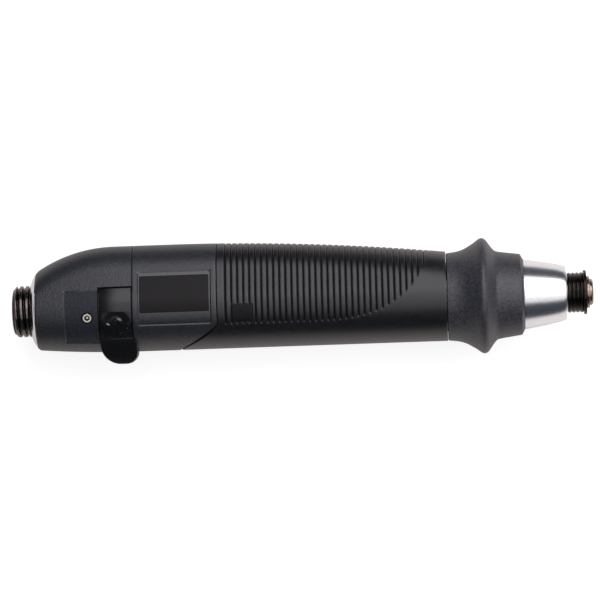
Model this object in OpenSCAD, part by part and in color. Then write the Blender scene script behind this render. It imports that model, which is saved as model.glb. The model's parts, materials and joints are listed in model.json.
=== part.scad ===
// Inline pneumatic screwdriver with a palm-swell grip, a reverse lever and a shut-off clutch.
// The X axis is the tool axis: the air inlet's end face is at x = 0 and the bit end is at +X.
// +Y is the palm-swell side, and +Z is the side with the label recess and the cap screw.
// Angles round the axis are measured from +Y towards +Z.

/* [Air inlet] */
// Outside diameter of the inlet thread
inlet_thread_d = 22; // [21:0.1:23]
// Length of the inlet thread
inlet_thread_len = 7.7; // [7:0.1:10]
// Diameter of the threaded air port in the inlet's end
inlet_port_d = 11.4; // [9:0.1:12]
// Depth of the threaded air port
inlet_port_len = 10; // [8:0.1:11]
// Chamfer at each end of the inlet thread
inlet_chamfer = 0.8; // [0.5:0.1:1.2]
// Diameter of the stub that screws into the end collar
inlet_stub_d = 19.9; // [19:0.1:20.5]
// Length of the stub
inlet_stub_len = 11; // [9:0.1:12]
// Diameter of the air passage behind the port
inlet_passage_d = 6.4; // [5:0.1:7]
// Diameter of the filter screen
screen_d = 9.5; // [8.5:0.1:10.5]
// Depth of the filter screen's cup
screen_len = 3.3; // [2:0.1:4]
// Wall of the filter screen's cup
screen_wall = 0.5; // [0.3:0.1:0.8]
// Diameter of a hole in the filter screen
screen_hole_d = 0.9; // [0.5:0.1:1]
// Spacing of the holes in the filter screen
screen_pitch = 1.6; // [1.5:0.1:1.8]

/* [End collar] */
// Length of the polished dome that shows behind the rear cap
dome_len = 2.7; // [2:0.1:3.5]
// Diameter of the polished dome
dome_d = 33; // [32:0.1:33.4]
// Diameter of the collar inside the rear cap
collar_d = 26.8; // [26:0.1:27]
// Length of the collar inside the rear cap
collar_len = 25.5; // [23.6:0.1:26]
// Diameter of the throttle chamber in the collar
chamber_d = 16; // [14:0.1:17]
// Wire diameter of the collar's O-ring
collar_ring_wire = 1.36; // [1:0.02:1.4]
// Distance from the dome to the collar's O-ring
collar_ring_at = 15.3; // [13:0.1:16]

/* [Throttle] */
// Length of the valve seat
seat_len = 4.4; // [3:0.1:5]
// Distance from the collar's end back to the valve seat
seat_setback = 1; // [0.5:0.1:1.4]
// Diameter of the hole in the valve seat
seat_hole_d = 6; // [5:0.1:7]
// Width and height of the sealing lip on the seat
seat_lip = 0.6; // [0.4:0.1:0.8]
// Diameter of the throttle valve
valve_d = 10; // [9:0.1:11]
// Thickness of the throttle valve
valve_len = 2.2; // [1.6:0.1:2.6]
// Diameter of the valve's spring guide
valve_guide_d = 6; // [5:0.1:7]
// Length of the valve's spring guide
valve_guide_len = 3; // [2:0.1:4]
// Mean diameter of the valve spring
valve_spring_d = 8; // [7.4:0.1:8.8]
// Wire diameter of the valve spring
valve_spring_wire = 0.8; // [0.6:0.05:0.9]
// Diameter of the push rod
push_rod_d = 2.2; // [1.8:0.1:2.4]
// Diameter of the bore that the push rod runs in
rod_bore_d = 3; // [2.8:0.1:3.2]
// Travel of the spindle when the tool is pushed onto a screw
push_travel = 2; // [1:0.1:2]

/* [Housing outline] */
// Radius of the round underside of the label section and grip
handle_r = 18.8; // [18.6:0.1:20]
// Height of the palm swell over the tool axis
palm_h = 26.6; // [24:0.1:30]
// Radius of the arc from the dome up to the palm swell
tail_arc_r = 61; // [56:0.5:75]
// Length of that arc along the tool
tail_arc_len = 33; // [28:0.5:36]
// How far the underside draws in towards the dome
tail_drop = 1.9; // [1:0.1:2.4]
// How far the palm swell falls towards the guard
front_drop = 7.2; // [5:0.1:7.4]
// Distance from the label section's rear edge to where the fall starts
crest_at = 16; // [10:0.5:24]
// Length of the rear cap
cap_len = 41.9; // [41.2:0.1:43.5]
// Rounding of the rear cap's rear edge
cap_edge = 0.7; // [0.4:0.1:1]
// Length of the label section
label_len = 35.9; // [34:0.1:40]
// How far the grip reaches back under the label section
grip_tongue = 16.9; // [10:0.1:17.5]

/* [Cap details] */
// Depth of the shallow panel round the cap screw
panel_depth = 0.35; // [0.2:0.05:0.6]
// Length of the panel
panel_len = 14.4; // [12:0.1:15]
// Distance from the dome to the cap screw
screw_at = 22.5; // [21.6:0.1:23.1]
// Diameter of the cap screw's head
screw_head_d = 4.6; // [4:0.1:5]
// Height of the cap screw's head
screw_head_h = 2.2; // [1.6:0.1:2.4]
// Diameter of the cap screw's shank
screw_d = 2.5; // [2:0.1:3]
// Width across the flats of the cap screw's socket
screw_key = 2; // [1.5:0.1:2.5]
// How far the cap screw's head lies under the surface
screw_sink = 0.3; // [0.1:0.05:0.5]
// Radial play round the cap screw's head
screw_head_play = 0.25; // [0.1:0.05:0.3]
// Thickness of the exhaust silencer ring
silencer_wall = 1.75; // [1:0.05:2]
// Length of the exhaust silencer ring
silencer_len = 7.4; // [5:0.1:9]
// Distance from the dome to the silencer
silencer_at = 2.4; // [2:0.1:3]
// Diameter of an exhaust hole on the far side
exhaust_hole_d = 1.8; // [1:0.1:2.4]

/* [Reverse lever] */
// Length of the lever's band along the tool
lever_len = 14; // [13:0.1:15]
// Wall of the cap's neck between the reverse valve and the lever's band
neck_wall = 2.3; // [2:0.05:2.35]
// Thickness of the lever's band
lever_wall = 2.7; // [2.2:0.1:2.8]
// Radial play between the band and the cap's neck
lever_play = 0.2; // [0.1:0.05:0.4]
// Play at each end of the band
lever_side_gap = 0.3; // [0.2:0.05:0.5]
// Turn of the lever from forward to reverse, in degrees
lever_turn = 30; // [20:1:30]
// How far the thumb tab hangs below the tool axis
tab_drop = 23.8; // [22.5:0.1:25]
// Where the tab's upper ledge lies below the tool axis
tab_ledge = 12.6; // [12:0.1:14]
// Width of the thumb tab along the tool
tab_w = 15; // [14:0.1:15.2]
// How far the tab reaches in front of the band
tab_ahead = 0.9; // [0.5:0.1:1.2]
// How far the tab's near face stands in front of the tool axis at the ledge
tab_front = 14.3; // [13:0.1:15]
// Slope of the near face back towards the foot, in degrees
tab_slope = 30; // [20:1:32]
// Thickness of the thumb tab
tab_t = 11.5; // [9:0.1:12.5]
// Rounding of the tab's faces
tab_edge = 1.3; // [0.6:0.1:1.4]
// Rounding of the tab's foot at its rear and at its front
tab_rear_corner = 8; // [7:0.1:8.2]
tab_corner = 5.2; // [4:0.1:6.8]
// Diameter of the pin between the lever and the reverse valve
lever_pin_d = 3; // [2.4:0.1:3.4]
// Diameter of the reverse valve
reverse_valve_d = 26.6; // [26.4:0.1:26.7]
// Radial play of the reverse valve in the rear cap
reverse_valve_play = 0.2; // [0.1:0.05:0.25]
// Diameter of an air port through the reverse valve
reverse_port_d = 4.4; // [3:0.1:5]
// Diameter of the detent ball
detent_ball_d = 3; // [2.4:0.1:3.4]
// Depth of the detent's blind hole beyond the valve
detent_depth = 6.4; // [5:0.1:7]

/* [Motor] */
// Diameter of the motor and gear parts inside the handle tube
motor_d = 29.4; // [29.2:0.1:29.5]
// Bore of the handle tube
tube_bore_d = 29.5; // [29.5:0.1:30]
// Outside diameter of the handle tube under the grip
tube_d = 33.2; // [32.8:0.1:33.6]
// Thickness of the rear end plate
rear_plate_len = 7.65; // [7.2:0.05:9]
// Length of the end plate's spigot in the rear cap
spigot_len = 1.3; // [0.8:0.1:1.35]
// Length of the motor cylinder
cylinder_len = 52; // [45:0.5:55]
// Diameter of the cylinder's bore
cylinder_bore_d = 22.4; // [22.3:0.1:22.8]
// Diameter of the rotor
rotor_d = 20; // [19.6:0.1:20]
// Running gap between the rotor and the tight side of the bore
rotor_gap = 0.05; // [0.03:0.01:0.1]
// Gap between the rotor's faces and the end plates
rotor_end_gap = 0.05; // [0.03:0.01:0.1]
// Diameter of an air port in the rear end plate
plate_port_d = 3.8; // [3:0.1:4.4]
// Diameter of an exhaust port in the motor cylinder
cylinder_port_d = 1.9; // [1.4:0.1:2.4]
// Width of a vane slot
vane_slot_w = 1.5; // [1.2:0.1:2]
// Depth of a vane slot
vane_slot_depth = 4.8; // [4:0.1:5.2]
// Gap between a vane and its slot
vane_play = 0.05; // [0.03:0.01:0.08]
// Thickness of the front end plate
front_plate_len = 6.9; // [6.6:0.1:8]
// Bore, outside diameter and width of the rotor bearings
rotor_bearing_bore = 9; // [9:0.1:9.4]
rotor_bearing_d = 17; // [16:0.1:17.5]
rotor_bearing_w = 5; // [4:0.1:5]
// Running gap of a shaft in its bearing
bearing_play = 0.02; // [0.01:0.005:0.05]
// Diameter of the alignment pin
dowel_d = 1.9; // [1.6:0.1:2]
// How far the alignment pin goes into each end plate
dowel_seat = 3; // [2:0.1:3.5]

/* [Planetary gear] */
// Gear module
gear_module = 0.65; // [0.63:0.005:0.66]
// Thinning of each tooth flank for backlash
tooth_gap = 0.04; // [0.03:0.005:0.06]
// Length of the ring gear
ring_gear_len = 20.7; // [20:0.1:22]
// Plain bore at each end of the ring gear
ring_gear_end = 2.2; // [1.5:0.1:2.4]
// Gap between the gears and the parts beside them
gear_end_gap = 0.4; // [0.3:0.05:0.5]
// Diameter of a planet pin
planet_pin_d = 3; // [2.6:0.1:3.2]
// Thickness of the planet carrier's plate
carrier_plate_len = 4.2; // [3.5:0.1:4.3]
// Diameter of the planet carrier's plate
carrier_d = 22.4; // [20:0.1:23]
// Bore, outside diameter and width of the carrier bearing
carrier_bearing_bore = 12; // [11.6:0.1:12.4]
carrier_bearing_d = 24; // [23.8:0.1:24]
carrier_bearing_w = 6; // [5:0.1:6]

/* [Clutch] */
// Diameter of the clutch driver and cam
clutch_d = 22.4; // [20:0.1:23]
// Gap between the carrier bearing and the driver
driver_gap = 1.6; // [1:0.1:2]
// Length of the clutch driver
driver_len = 6.8; // [6.5:0.1:8]
// Diameter of a clutch ball
clutch_ball_d = 4; // [3.6:0.1:4.4]
// Distance between the driver and the cam
cam_gap = 1.8; // [1.6:0.1:2.2]
// Length of the cam
cam_len = 6.2; // [5.5:0.1:7]
// Installed length of the clutch spring
clutch_spring_len = 24.5; // [24:0.1:26]
// Mean diameter and wire of the clutch spring
clutch_spring_d = 16.4; // [15.8:0.1:17]
clutch_spring_wire = 2; // [1.6:0.1:2.2]
// Thickness of the spring seat
spring_seat_len = 2.5; // [2:0.1:3]
// Diameter of the spring seat
spring_seat_d = 21; // [19.6:0.1:21.6]
// Length of the adjusting nut
nut_len = 6.5; // [5.5:0.1:7]
// Diameter of the adjusting nut
nut_d = 20; // [19:0.1:20.4]
// Diameter of a key hole in the adjusting nut
nut_hole_d = 2.4; // [2:0.1:3]
// Distance from the adjusting nut to the shaft bearing
nut_room = 5.6; // [5:0.1:9]
// Diameter of the clutch shaft
clutch_shaft_d = 10; // [9.4:0.1:10.4]
// Running gap of the sliding clutch parts
slide_play = 0.04; // [0.02:0.01:0.08]
// Diameter and length of the clutch shaft's pilot
pilot_d = 6; // [5:0.1:7]
pilot_len = 2.4; // [2:0.1:2.8]
// Width across the flats of the spindle's drive hexagon
drive_hex = 8; // [7.5:0.1:8.4]
// Gap on each flat of the drive hexagon
hex_play = 0.05; // [0.03:0.01:0.08]
// Depth of the drive socket in the clutch shaft
drive_socket_len = 9.1; // [8.6:0.1:10]

/* [Clutch housing and nose] */
// Bore of the clutch housing
housing_bore_d = 24; // [24:0.1:24.4]
// Length of the nose in front of the guard
nose_len = 18; // [17:0.1:20]
// Radius of the nose beside the guard
nose_r = 14.96; // [14.9:0.02:15.2]
// Radius of the nose at its front edge
nose_tip_r = 11.2; // [10.6:0.1:11.8]
// Depth of the recess that the chuck sleeve backs into
nose_recess = 2.2; // [2.1:0.05:3]
// Clearance round the sleeve in that recess
recess_play = 0.33; // [0.2:0.01:0.5]
// Thickness of the lip in front of the bush
nose_lip = 1; // [0.8:0.1:1.5]
// Bore, outside diameter and width of the shaft bearing
shaft_bearing_bore = 14; // [13.8:0.1:14.4]
shaft_bearing_d = 24; // [23.8:0.1:24]
shaft_bearing_w = 6; // [5:0.1:6]
// Distance from the nose back to the shaft bearing's front
bearing_setback = 9.3; // [8.8:0.1:9.5]
// Outside diameter and length of the spindle bush
bush_d = 19; // [17:0.1:20]
bush_len = 18; // [14:0.1:18]
// Length and width of the adjusting port
port_len = 8.6; // [7:0.1:9]
port_w = 8; // [6:0.1:9]
// Wire diameter of the guard's O-ring
guard_ring_wire = 1.5; // [1.2:0.1:1.6]

/* [Guard] */
// Length of the guard
guard_len = 32.7; // [32:0.1:35]
// Radius of the guard's flange
guard_flange_r = 24.65; // [23:0.05:27]
// Radius of the guard's waist
guard_waist_r = 18.1; // [17.8:0.1:18.4]
// Radius of the guard's front edge
guard_tip_r = 15.4; // [15.2:0.1:15.9]
// Gap at each end of the guard
guard_gap = 0.1; // [0.05:0.05:0.4]

/* [Spindle and chuck] */
// Diameter of the spindle in its bush
spindle_d = 12.7; // [12.2:0.1:12.8]
// Diameter of the spindle's nose
spindle_nose_d = 11.28; // [11.1:0.02:11.34]
// Width across the flats of the bit socket
bit_hex = 6.45; // [6.35:0.05:6.5]
// Depth of the bit socket
bit_depth = 18; // [12:0.5:22]
// Gap between the nose and the chuck sleeve
sleeve_gap = 0.5; // [0.3:0.1:1]
// Length of the chuck sleeve
sleeve_len = 8.1; // [7.6:0.1:9]
// Diameter over the sleeve's ridges
sleeve_d = 17.24; // [16.8:0.02:17.4]
// Depth of a groove in the sleeve
sleeve_groove = 0.46; // [0.3:0.02:0.6]
// Diameter and thickness of the sleeve's front rim
sleeve_rim_d = 19; // [18:0.1:20]
sleeve_rim_len = 1.2; // [0.8:0.1:1.5]
// Length of the relief behind the sleeve's locking bore
sleeve_relief = 1.1; // [0.8:0.05:1.1]
// Length of the sleeve's locking bore
sleeve_lock = 3.7; // [3.4:0.1:4]
// Diameter of the sleeve's spring chamber
sleeve_chamber_d = 14.6; // [14.4:0.1:15]
// Diameter of the chuck ball
chuck_ball_d = 3; // [2.8:0.1:3.2]
// Distance from the sleeve's rear edge to the chuck ball
chuck_ball_at = 1.8; // [1.7:0.05:2]
// Length and wire of the chuck spring
chuck_spring_len = 3.6; // [3:0.1:3.8]
chuck_spring_wire = 0.5; // [0.4:0.05:0.6]
// Diameter and thickness of the retaining ring
chuck_ring_d = 13.6; // [13.6:0.1:14.2]
chuck_ring_t = 1; // [0.6:0.1:1.2]
// How deep the retaining ring sits in the spindle
chuck_ring_seat = 0.34; // [0.2:0.02:0.5]
// Length of the spindle in front of the sleeve
tip_len = 2.9; // [2.6:0.1:4]
// Chamfer of the spindle's front edge
tip_chamfer = 0.6; // [0.3:0.1:0.8]

/* [Grip ribs] */
// Pitch of the grip's ribs
rib_pitch = 2.56; // [2.4:0.01:3]
// Depth of the grooves between the ribs
rib_depth = 0.45; // [0.3:0.05:0.6]
// Plain band at the rear of the grip
rib_margin = 3.6; // [3:0.1:4.5]
// Depth of the label recess
label_depth = 0.4; // [0.2:0.05:0.6]
// Margin between the label recess and the label section's ends
label_margin = 2.5; // [2:0.1:4]
// Angle of the label recess's upper edge from the palm swell
label_top_angle = 44; // [40:1:55]
// How far the label recess and the rear of the ribs reach below the tool axis
label_drop = 7.7; // [7:0.1:9]

/* [Hidden] */
$fn = 48;

// Overrun of every cut, and the gap left between parts that meet end to end
over = 0.5;
joint_gap = 0.15;
// Running gap of a ball in its hole, and of a valve on its seat
ball_play = 0.02;
// Gap round the end collar in the rear cap
collar_play = 0.05;

// Stations along the tool
dome_x0 = inlet_thread_len;
cap_x0 = dome_x0 + dome_len;
cap_x1 = cap_x0 + cap_len;
body_x1 = cap_x1 + label_len;

stub_x1 = dome_x0 + inlet_stub_len;
collar_x1 = cap_x0 + collar_len;
seat_x1 = collar_x1 - seat_setback;
seat_x0 = seat_x1 - seat_len;
valve_x1 = seat_x0 - seat_lip - ball_play;
valve_x0 = valve_x1 - valve_len;
screen_x0 = inlet_port_len + screen_wall;
screen_seat_x1 = inlet_port_len + screen_wall + screen_len;

lever_x1 = cap_x1 - lever_side_gap;
lever_x0 = lever_x1 - lever_len;
pin_x = (lever_x0 + lever_x1) / 2;
detent_x = lever_x0 + detent_ball_d;
reverse_valve_x0 = collar_x1 + lever_side_gap;
reverse_valve_x1 = cap_x1 - spigot_len - lever_side_gap;
cap_bore_r = collar_d / 2 + collar_play;
valve_bore_r = reverse_valve_d / 2 + reverse_valve_play;
neck_r = valve_bore_r + neck_wall;
lever_in_r = neck_r + lever_play;
lever_r = lever_in_r + lever_wall;

plate_x0 = cap_x1 + joint_gap;
plate_x1 = plate_x0 + rear_plate_len;
cylinder_x1 = plate_x1 + cylinder_len;
front_plate_x1 = cylinder_x1 + front_plate_len;
ring_gear_x1 = front_plate_x1 + ring_gear_len;
teeth_x0 = front_plate_x1 + ring_gear_end / 2;
teeth_x1 = ring_gear_x1 - ring_gear_end;
carrier_x0 = teeth_x1 - gear_end_gap;
carrier_x1 = carrier_x0 + carrier_plate_len;
planet_x0 = teeth_x0 + gear_end_gap;
planet_x1 = carrier_x0 - gear_end_gap;

carrier_bearing_x0 = carrier_x1 + gear_end_gap;
carrier_bearing_x1 = carrier_bearing_x0 + carrier_bearing_w;
driver_x0 = carrier_bearing_x1 + driver_gap;
driver_x1 = driver_x0 + driver_len;
cam_x0 = driver_x1 + cam_gap;
cam_x1 = cam_x0 + cam_len;
ball_x = (driver_x1 + cam_x0) / 2;
spring_x1 = cam_x1 + clutch_spring_len;
spring_seat_x1 = spring_x1 + spring_seat_len;
nut_x1 = spring_seat_x1 + nut_len;

// The shaft bearing stands in front of the nut, and the nose, guard and grip are placed from it
shaft_bearing_x0 = nut_x1 + nut_room;
shaft_bearing_x1 = shaft_bearing_x0 + shaft_bearing_w;
nose_x0 = shaft_bearing_x1 + bearing_setback;
nose_x1 = nose_x0 + nose_len;
guard_x1 = nose_x0 - guard_gap;
guard_x0 = guard_x1 - guard_len;
grip_x1 = guard_x0 - guard_gap;
sleeve_x0 = nose_x1 + sleeve_gap;
sleeve_x1 = sleeve_x0 + sleeve_len;
tip_x = sleeve_x1 + tip_len;

shaft_step_x = shaft_bearing_x0 - gear_end_gap;
shaft_x1 = shaft_bearing_x1 + push_travel;
socket_x0 = shaft_x1 - drive_socket_len;
spindle_x0 = socket_x0 + push_travel + gear_end_gap;
spindle_step_x = shaft_x1 + push_travel + gear_end_gap;
recess_x = nose_x1 - nose_recess;
bush_x1 = recess_x - nose_lip;
bush_x0 = bush_x1 - bush_len;
lock_x0 = sleeve_x0 + sleeve_relief;
lock_x1 = lock_x0 + sleeve_lock;
chuck_ring_x0 = lock_x1 + chuck_spring_len;
chuck_ball_x = sleeve_x0 + chuck_ball_at;
guard_ring_x = (nut_x1 + guard_x1) / 2;

// Angles and counts
screw_angle = 102;
panel_angles = [64, 142];
lever_angles = [62.5, 258];
slot_margin = 1.2;
pin_angle = 100;
pin_slot_margin = 7;
exhaust_angles = [240, 255, 270, 285, 300];
port_angle = 0;
guard_port_angle = 270;
key_hole_count = 6;
reverse_port_angles = [60, 150, 240, 330];
plate_port_angles = [60, 120];
screen_rows = 2;
ridge_count = 4;
coil_steps = 14;
wire_sides = 6;
valve_spring_turns = 5;
detent_spring_turns = 4;
clutch_spring_turns = 7;
chuck_spring_turns = 2.5;
flank_steps = 4;
edge_angle = 0.7;
vane_count = 5;
ball_count = 6;
sun_teeth = 12;
planet_teeth = 12;
ring_teeth = sun_teeth + 2 * planet_teeth;
planet_angles = [0, 120, 240];
pressure_angle = 20;
rib_end_angle = 117;
tail_shares = [0.05, 0.12, 0.2];
palm_narrow_share = 0.48;
edge_slope_share = 0.25;
screw_socket_share = 0.55;
tab_taper_share = 0.97;
cylinder_port_shares = [0.2, 0.4, 0.6, 0.8];
bearing_ring_share = 0.125;
bearing_shield_share = 0.08;
rib_reach_share = 0.91;
rib_curve_share = 0.39;
rib_shoulder_share = 0.24;
rib_edge_share = 0.98;
rib_angle_shares = [0, 0.11, 0.22, 0.33, 0.44, 0.55, 0.66, 0.77, 0.88, 0.97];

// Gear sizes
sun_pitch_r = gear_module * sun_teeth / 2;
planet_pitch_r = gear_module * planet_teeth / 2;
ring_pitch_r = gear_module * ring_teeth / 2;
planet_orbit_r = sun_pitch_r + planet_pitch_r;
outer_tip_share = 0.9;
outer_root_share = 1.25;
inner_tip_share = 0.55;
ring_root_r = ring_pitch_r + outer_root_share * gear_module;

// A bar, a tube and a turned profile about the tool axis
module axial(x) {
    translate([x, 0, 0]) rotate([90, 0, 90]) children();
}
module bar(x0, x1, r) {
    axial(x0) cylinder(h = x1 - x0, r = r);
}
module tube(x0, x1, r_out, r_in) {
    difference() {
        bar(x0, x1, r_out);
        bar(x0 - over, x1 + over, r_in);
    }
}
module turned(points) {
    axial(0) rotate_extrude() polygon([for (p = points) [p[1], p[0]]]);
}
// Part of a ring between two angles
module sector(x0, x1, r_in, r_out, a0, a1) {
    axial(x0) rotate([0, 0, a0]) rotate_extrude(angle = a1 - a0)
        translate([r_in, 0]) square([r_out - r_in, x1 - x0]);
}
// A bar that points out from the axis
module radial_bar(x, angle, r0, r1, r) {
    translate([x, 0, 0]) rotate([angle - 90, 0, 0]) translate([0, 0, r0]) cylinder(h = r1 - r0, r = r);
}
module hex_bar(x0, x1, flats) {
    axial(x0) cylinder(h = x1 - x0, r = flats / 2 / cos(30), $fn = 6);
}
// A round ring of wire about the axis
module wire_ring(x, r, wire) {
    axial(x) rotate_extrude() translate([r, 0]) circle(d = wire);
}
// A sealed ball bearing: two rings with a shield set back between them
module bearing(x0, width, bore, outside) {
    ring_t = (outside - bore) * bearing_ring_share;
    shield = width * bearing_shield_share;
    difference() {
        tube(x0, x0 + width, outside / 2, bore / 2);
        for (x = [x0 - over, x0 + width - shield])
            tube(x, x + over + shield, outside / 2 - ring_t, bore / 2 + ring_t);
    }
}

// Closed skin over rings of points, each ring turning from +Y towards +Z, and two points on the axis
module skin(rings, x_first, x_last) {
    n = len(rings[0]);
    rows = len(rings);
    points = concat([for (ring = rings) for (p = ring) p], [[x_first, 0, 0], [x_last, 0, 0]]);
    faces = concat(
        [for (i = [0 : rows - 2]) for (j = [0 : n - 1]) each let (k = (j + 1) % n)
            [[i * n + j, (i + 1) * n + j, (i + 1) * n + k], [i * n + j, (i + 1) * n + k, i * n + k]]],
        [for (j = [0 : n - 1]) [rows * n, j, (j + 1) % n]],
        [for (j = [0 : n - 1]) [rows * n + 1, (rows - 1) * n + (j + 1) % n, (rows - 1) * n + j]]
    );
    polyhedron(points = points, faces = faces, convexity = 8);
}
// A coil of round wire about the tool axis, from x0 to x1
module coil(x0, x1, r, wire, turns) {
    sides = wire_sides;
    w = wire / 2;
    n = turns * coil_steps;
    rise = (x1 - x0 - wire) / n;
    points = [for (i = [0 : n]) for (j = [0 : sides - 1])
        let (a = 360 * i / coil_steps, b = 360 * j / sides)
            [x0 + w + rise * i + w * sin(b), (r + w * cos(b)) * cos(a), (r + w * cos(b)) * sin(a)]];
    faces = concat(
        [for (i = [0 : n - 1]) for (j = [0 : sides - 1]) each let (k = (j + 1) % sides)
            [[i * sides + j, (i + 1) * sides + k, (i + 1) * sides + j],
             [i * sides + j, i * sides + k, (i + 1) * sides + k]]],
        [for (j = [1 : sides - 2]) [0, j + 1, j]],
        [for (j = [1 : sides - 2]) [n * sides, n * sides + j, n * sides + j + 1]]
    );
    polyhedron(points = points, faces = faces, convexity = 8);
}

// Height of the palm swell and radius of the underside at a place along the tool
function arc_fall(d) = tail_arc_r - sqrt(max(0, tail_arc_r * tail_arc_r - d * d));
function swell(x) = palm_h
    - arc_fall(max(0, cap_x0 + tail_arc_len - x))
    - front_drop * pow(max(0, x - cap_x1 - crest_at) / (grip_x1 - cap_x1 - crest_at), 2);
function under(x) = handle_r - tail_drop * pow(max(0, cap_x1 - x) / cap_len, 2);
// Radius of the egg-shaped section: a large circle on the axis and a smaller one at the swell
function egg(x, a) = let (
        big = under(x),
        rise = max(0, swell(x) - big),
        small = big - palm_narrow_share * rise,
        centre = big + rise - small,
        meet = acos(min(1, (big - small) / max(centre, ball_play))),
        top = atan2(small * sin(meet), centre + small * cos(meet)),
        t = a > 180 ? 360 - a : a
    )
    rise < ball_play || t >= meet ? big
    : t >= top ? big / cos(t - meet)
    : centre * cos(t) + sqrt(small * small - pow(centre * sin(t), 2));
function on_egg(x, a, depth) = let (r = egg(x, a) - depth) [x, r * cos(a), r * sin(a)];

// Angles of the points round the label section; the near half has the label recess's edges
label_drop_angle = acos(-label_drop / handle_r);
seam_power = 1.4;
near_angles = concat(
    [0, 15, 30, label_top_angle - edge_angle, label_top_angle, 58, 72, 86, 100],
    [label_drop_angle, label_drop_angle + edge_angle, 125, 136, 147, 158, 169]
);
far_angles = [for (k = [16 : 31]) 180 + (k - 16) * 11.25];
label_angles = concat(near_angles, far_angles);
// Where the label section meets the grip: straight across, then back along the underside
function seam_x(a) = let (drop = -handle_r * cos(a))
    body_x1 - grip_tongue * pow(max(0, drop - label_drop) / (handle_r - label_drop), seam_power);
function label_row(x, depth) = [for (a = label_angles)
    let (
        place = cap_x1 + (x - cap_x1) * (seam_x(a) - cap_x1) / label_len,
        d = a >= label_top_angle && a <= label_drop_angle ? depth : 0
    ) on_egg(place, a, d)];

module label_skin() {
    x0 = cap_x1 + label_margin;
    x1 = body_x1 - label_margin;
    step = label_depth * edge_slope_share;
    rings = [
        label_row(cap_x1, 0), label_row(x0, 0), label_row(x0 + step, label_depth),
        label_row((x0 + x1) / 2, label_depth),
        label_row(x1 - step, label_depth), label_row(x1, 0), label_row(body_x1, 0)
    ];
    skin(rings, cap_x1, body_x1);
}

// The ribs of the grip fade out along a curve on the underside
rib_x0 = body_x1 + rib_margin;
rib_count = floor(rib_reach_share * (grip_x1 - body_x1) / rib_pitch);
rib_x1 = rib_x0 + rib_count * rib_pitch;
function rib_angle(x) = let (
        along = (x - rib_x0) / (rib_x1 - rib_x0),
        u = max(0, along - rib_curve_share) / (1 - rib_curve_share)
    )
    max(5, rib_end_angle * sqrt(max(0, 1 - pow(min(u, 1), 3))));
function half_angles(x) = let (t = rib_angle(x)) concat(
    [for (s = rib_angle_shares) s * t],
    [for (k = [0 : 5]) t + (180 - t) * k / 6]
);
function grip_angles(x) = let (half = half_angles(x)) concat(
    half, [180], [for (k = [len(half) - 1 : -1 : 1]) 360 - half[k]]
);
function grip_row(x, depth) = let (t = rib_angle(x) * rib_edge_share) [for (a = grip_angles(x))
    on_egg(x, a, (a > 180 ? 360 - a : a) < t ? depth : 0)];

module grip_skin() {
    shoulder = rib_shoulder_share * rib_pitch;
    ribs = [for (k = [0 : rib_count]) each let (x = rib_x0 + k * rib_pitch)
        k == rib_count ? [grip_row(x, rib_depth)] : [
            grip_row(x, rib_depth),
            grip_row(x + shoulder, 0),
            grip_row(x + rib_pitch - shoulder, 0)
        ]];
    rings = concat(
        [[for (a = label_angles) on_egg(seam_x(a), a, 0)]],
        [grip_row(rib_x0 - shoulder, 0)],
        ribs,
        [grip_row(rib_x1 + shoulder, 0), grip_row(grip_x1, 0)]
    );
    skin(rings, body_x1, grip_x1);
}

// Rear cap: a swept egg section with the screw's panel, cut for the lever's band
cap_near_angles = [0, 12, 24, 36, 50, panel_angles[0] - edge_angle, panel_angles[0], 77, 90, 103,
    116, 129, panel_angles[1], panel_angles[1] + edge_angle, 155, 168];
cap_angles = concat(cap_near_angles, far_angles);
function cap_row(x, inset, depth) = [for (a = cap_angles)
    on_egg(x, a, inset + (a >= panel_angles[0] && a <= panel_angles[1] ? depth : 0))];
module cap_skin() {
    x1 = lever_x0 - lever_side_gap;
    x0 = x1 - panel_len;
    step = panel_depth * edge_slope_share;
    rings = concat(
        [cap_row(cap_x0, cap_edge, 0)],
        [cap_row(cap_x0 + cap_edge / 3, cap_edge / 3, 0)],
        [cap_row(cap_x0 + cap_edge, 0, 0)],
        [for (s = tail_shares) cap_row(cap_x0 + s * cap_len, 0, 0)],
        [cap_row(x0, 0, 0), cap_row(x0 + step, 0, panel_depth)],
        [cap_row((x0 + x1) / 2, 0, panel_depth), cap_row(x1, 0, panel_depth)],
        [cap_row((x1 + cap_x1) / 2, 0, 0), cap_row(cap_x1, 0, 0)]
    );
    skin(rings, cap_x0, cap_x1);
}

// Radii of the cap screw's head and seat, from the surface under the panel
screw_x = cap_x0 + screw_at;
screw_top_r = under(screw_x) - panel_depth - screw_sink;
screw_seat_r = screw_top_r - screw_head_h;
screw_end_r = chamber_d / 2 + screw_d / 2;

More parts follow.
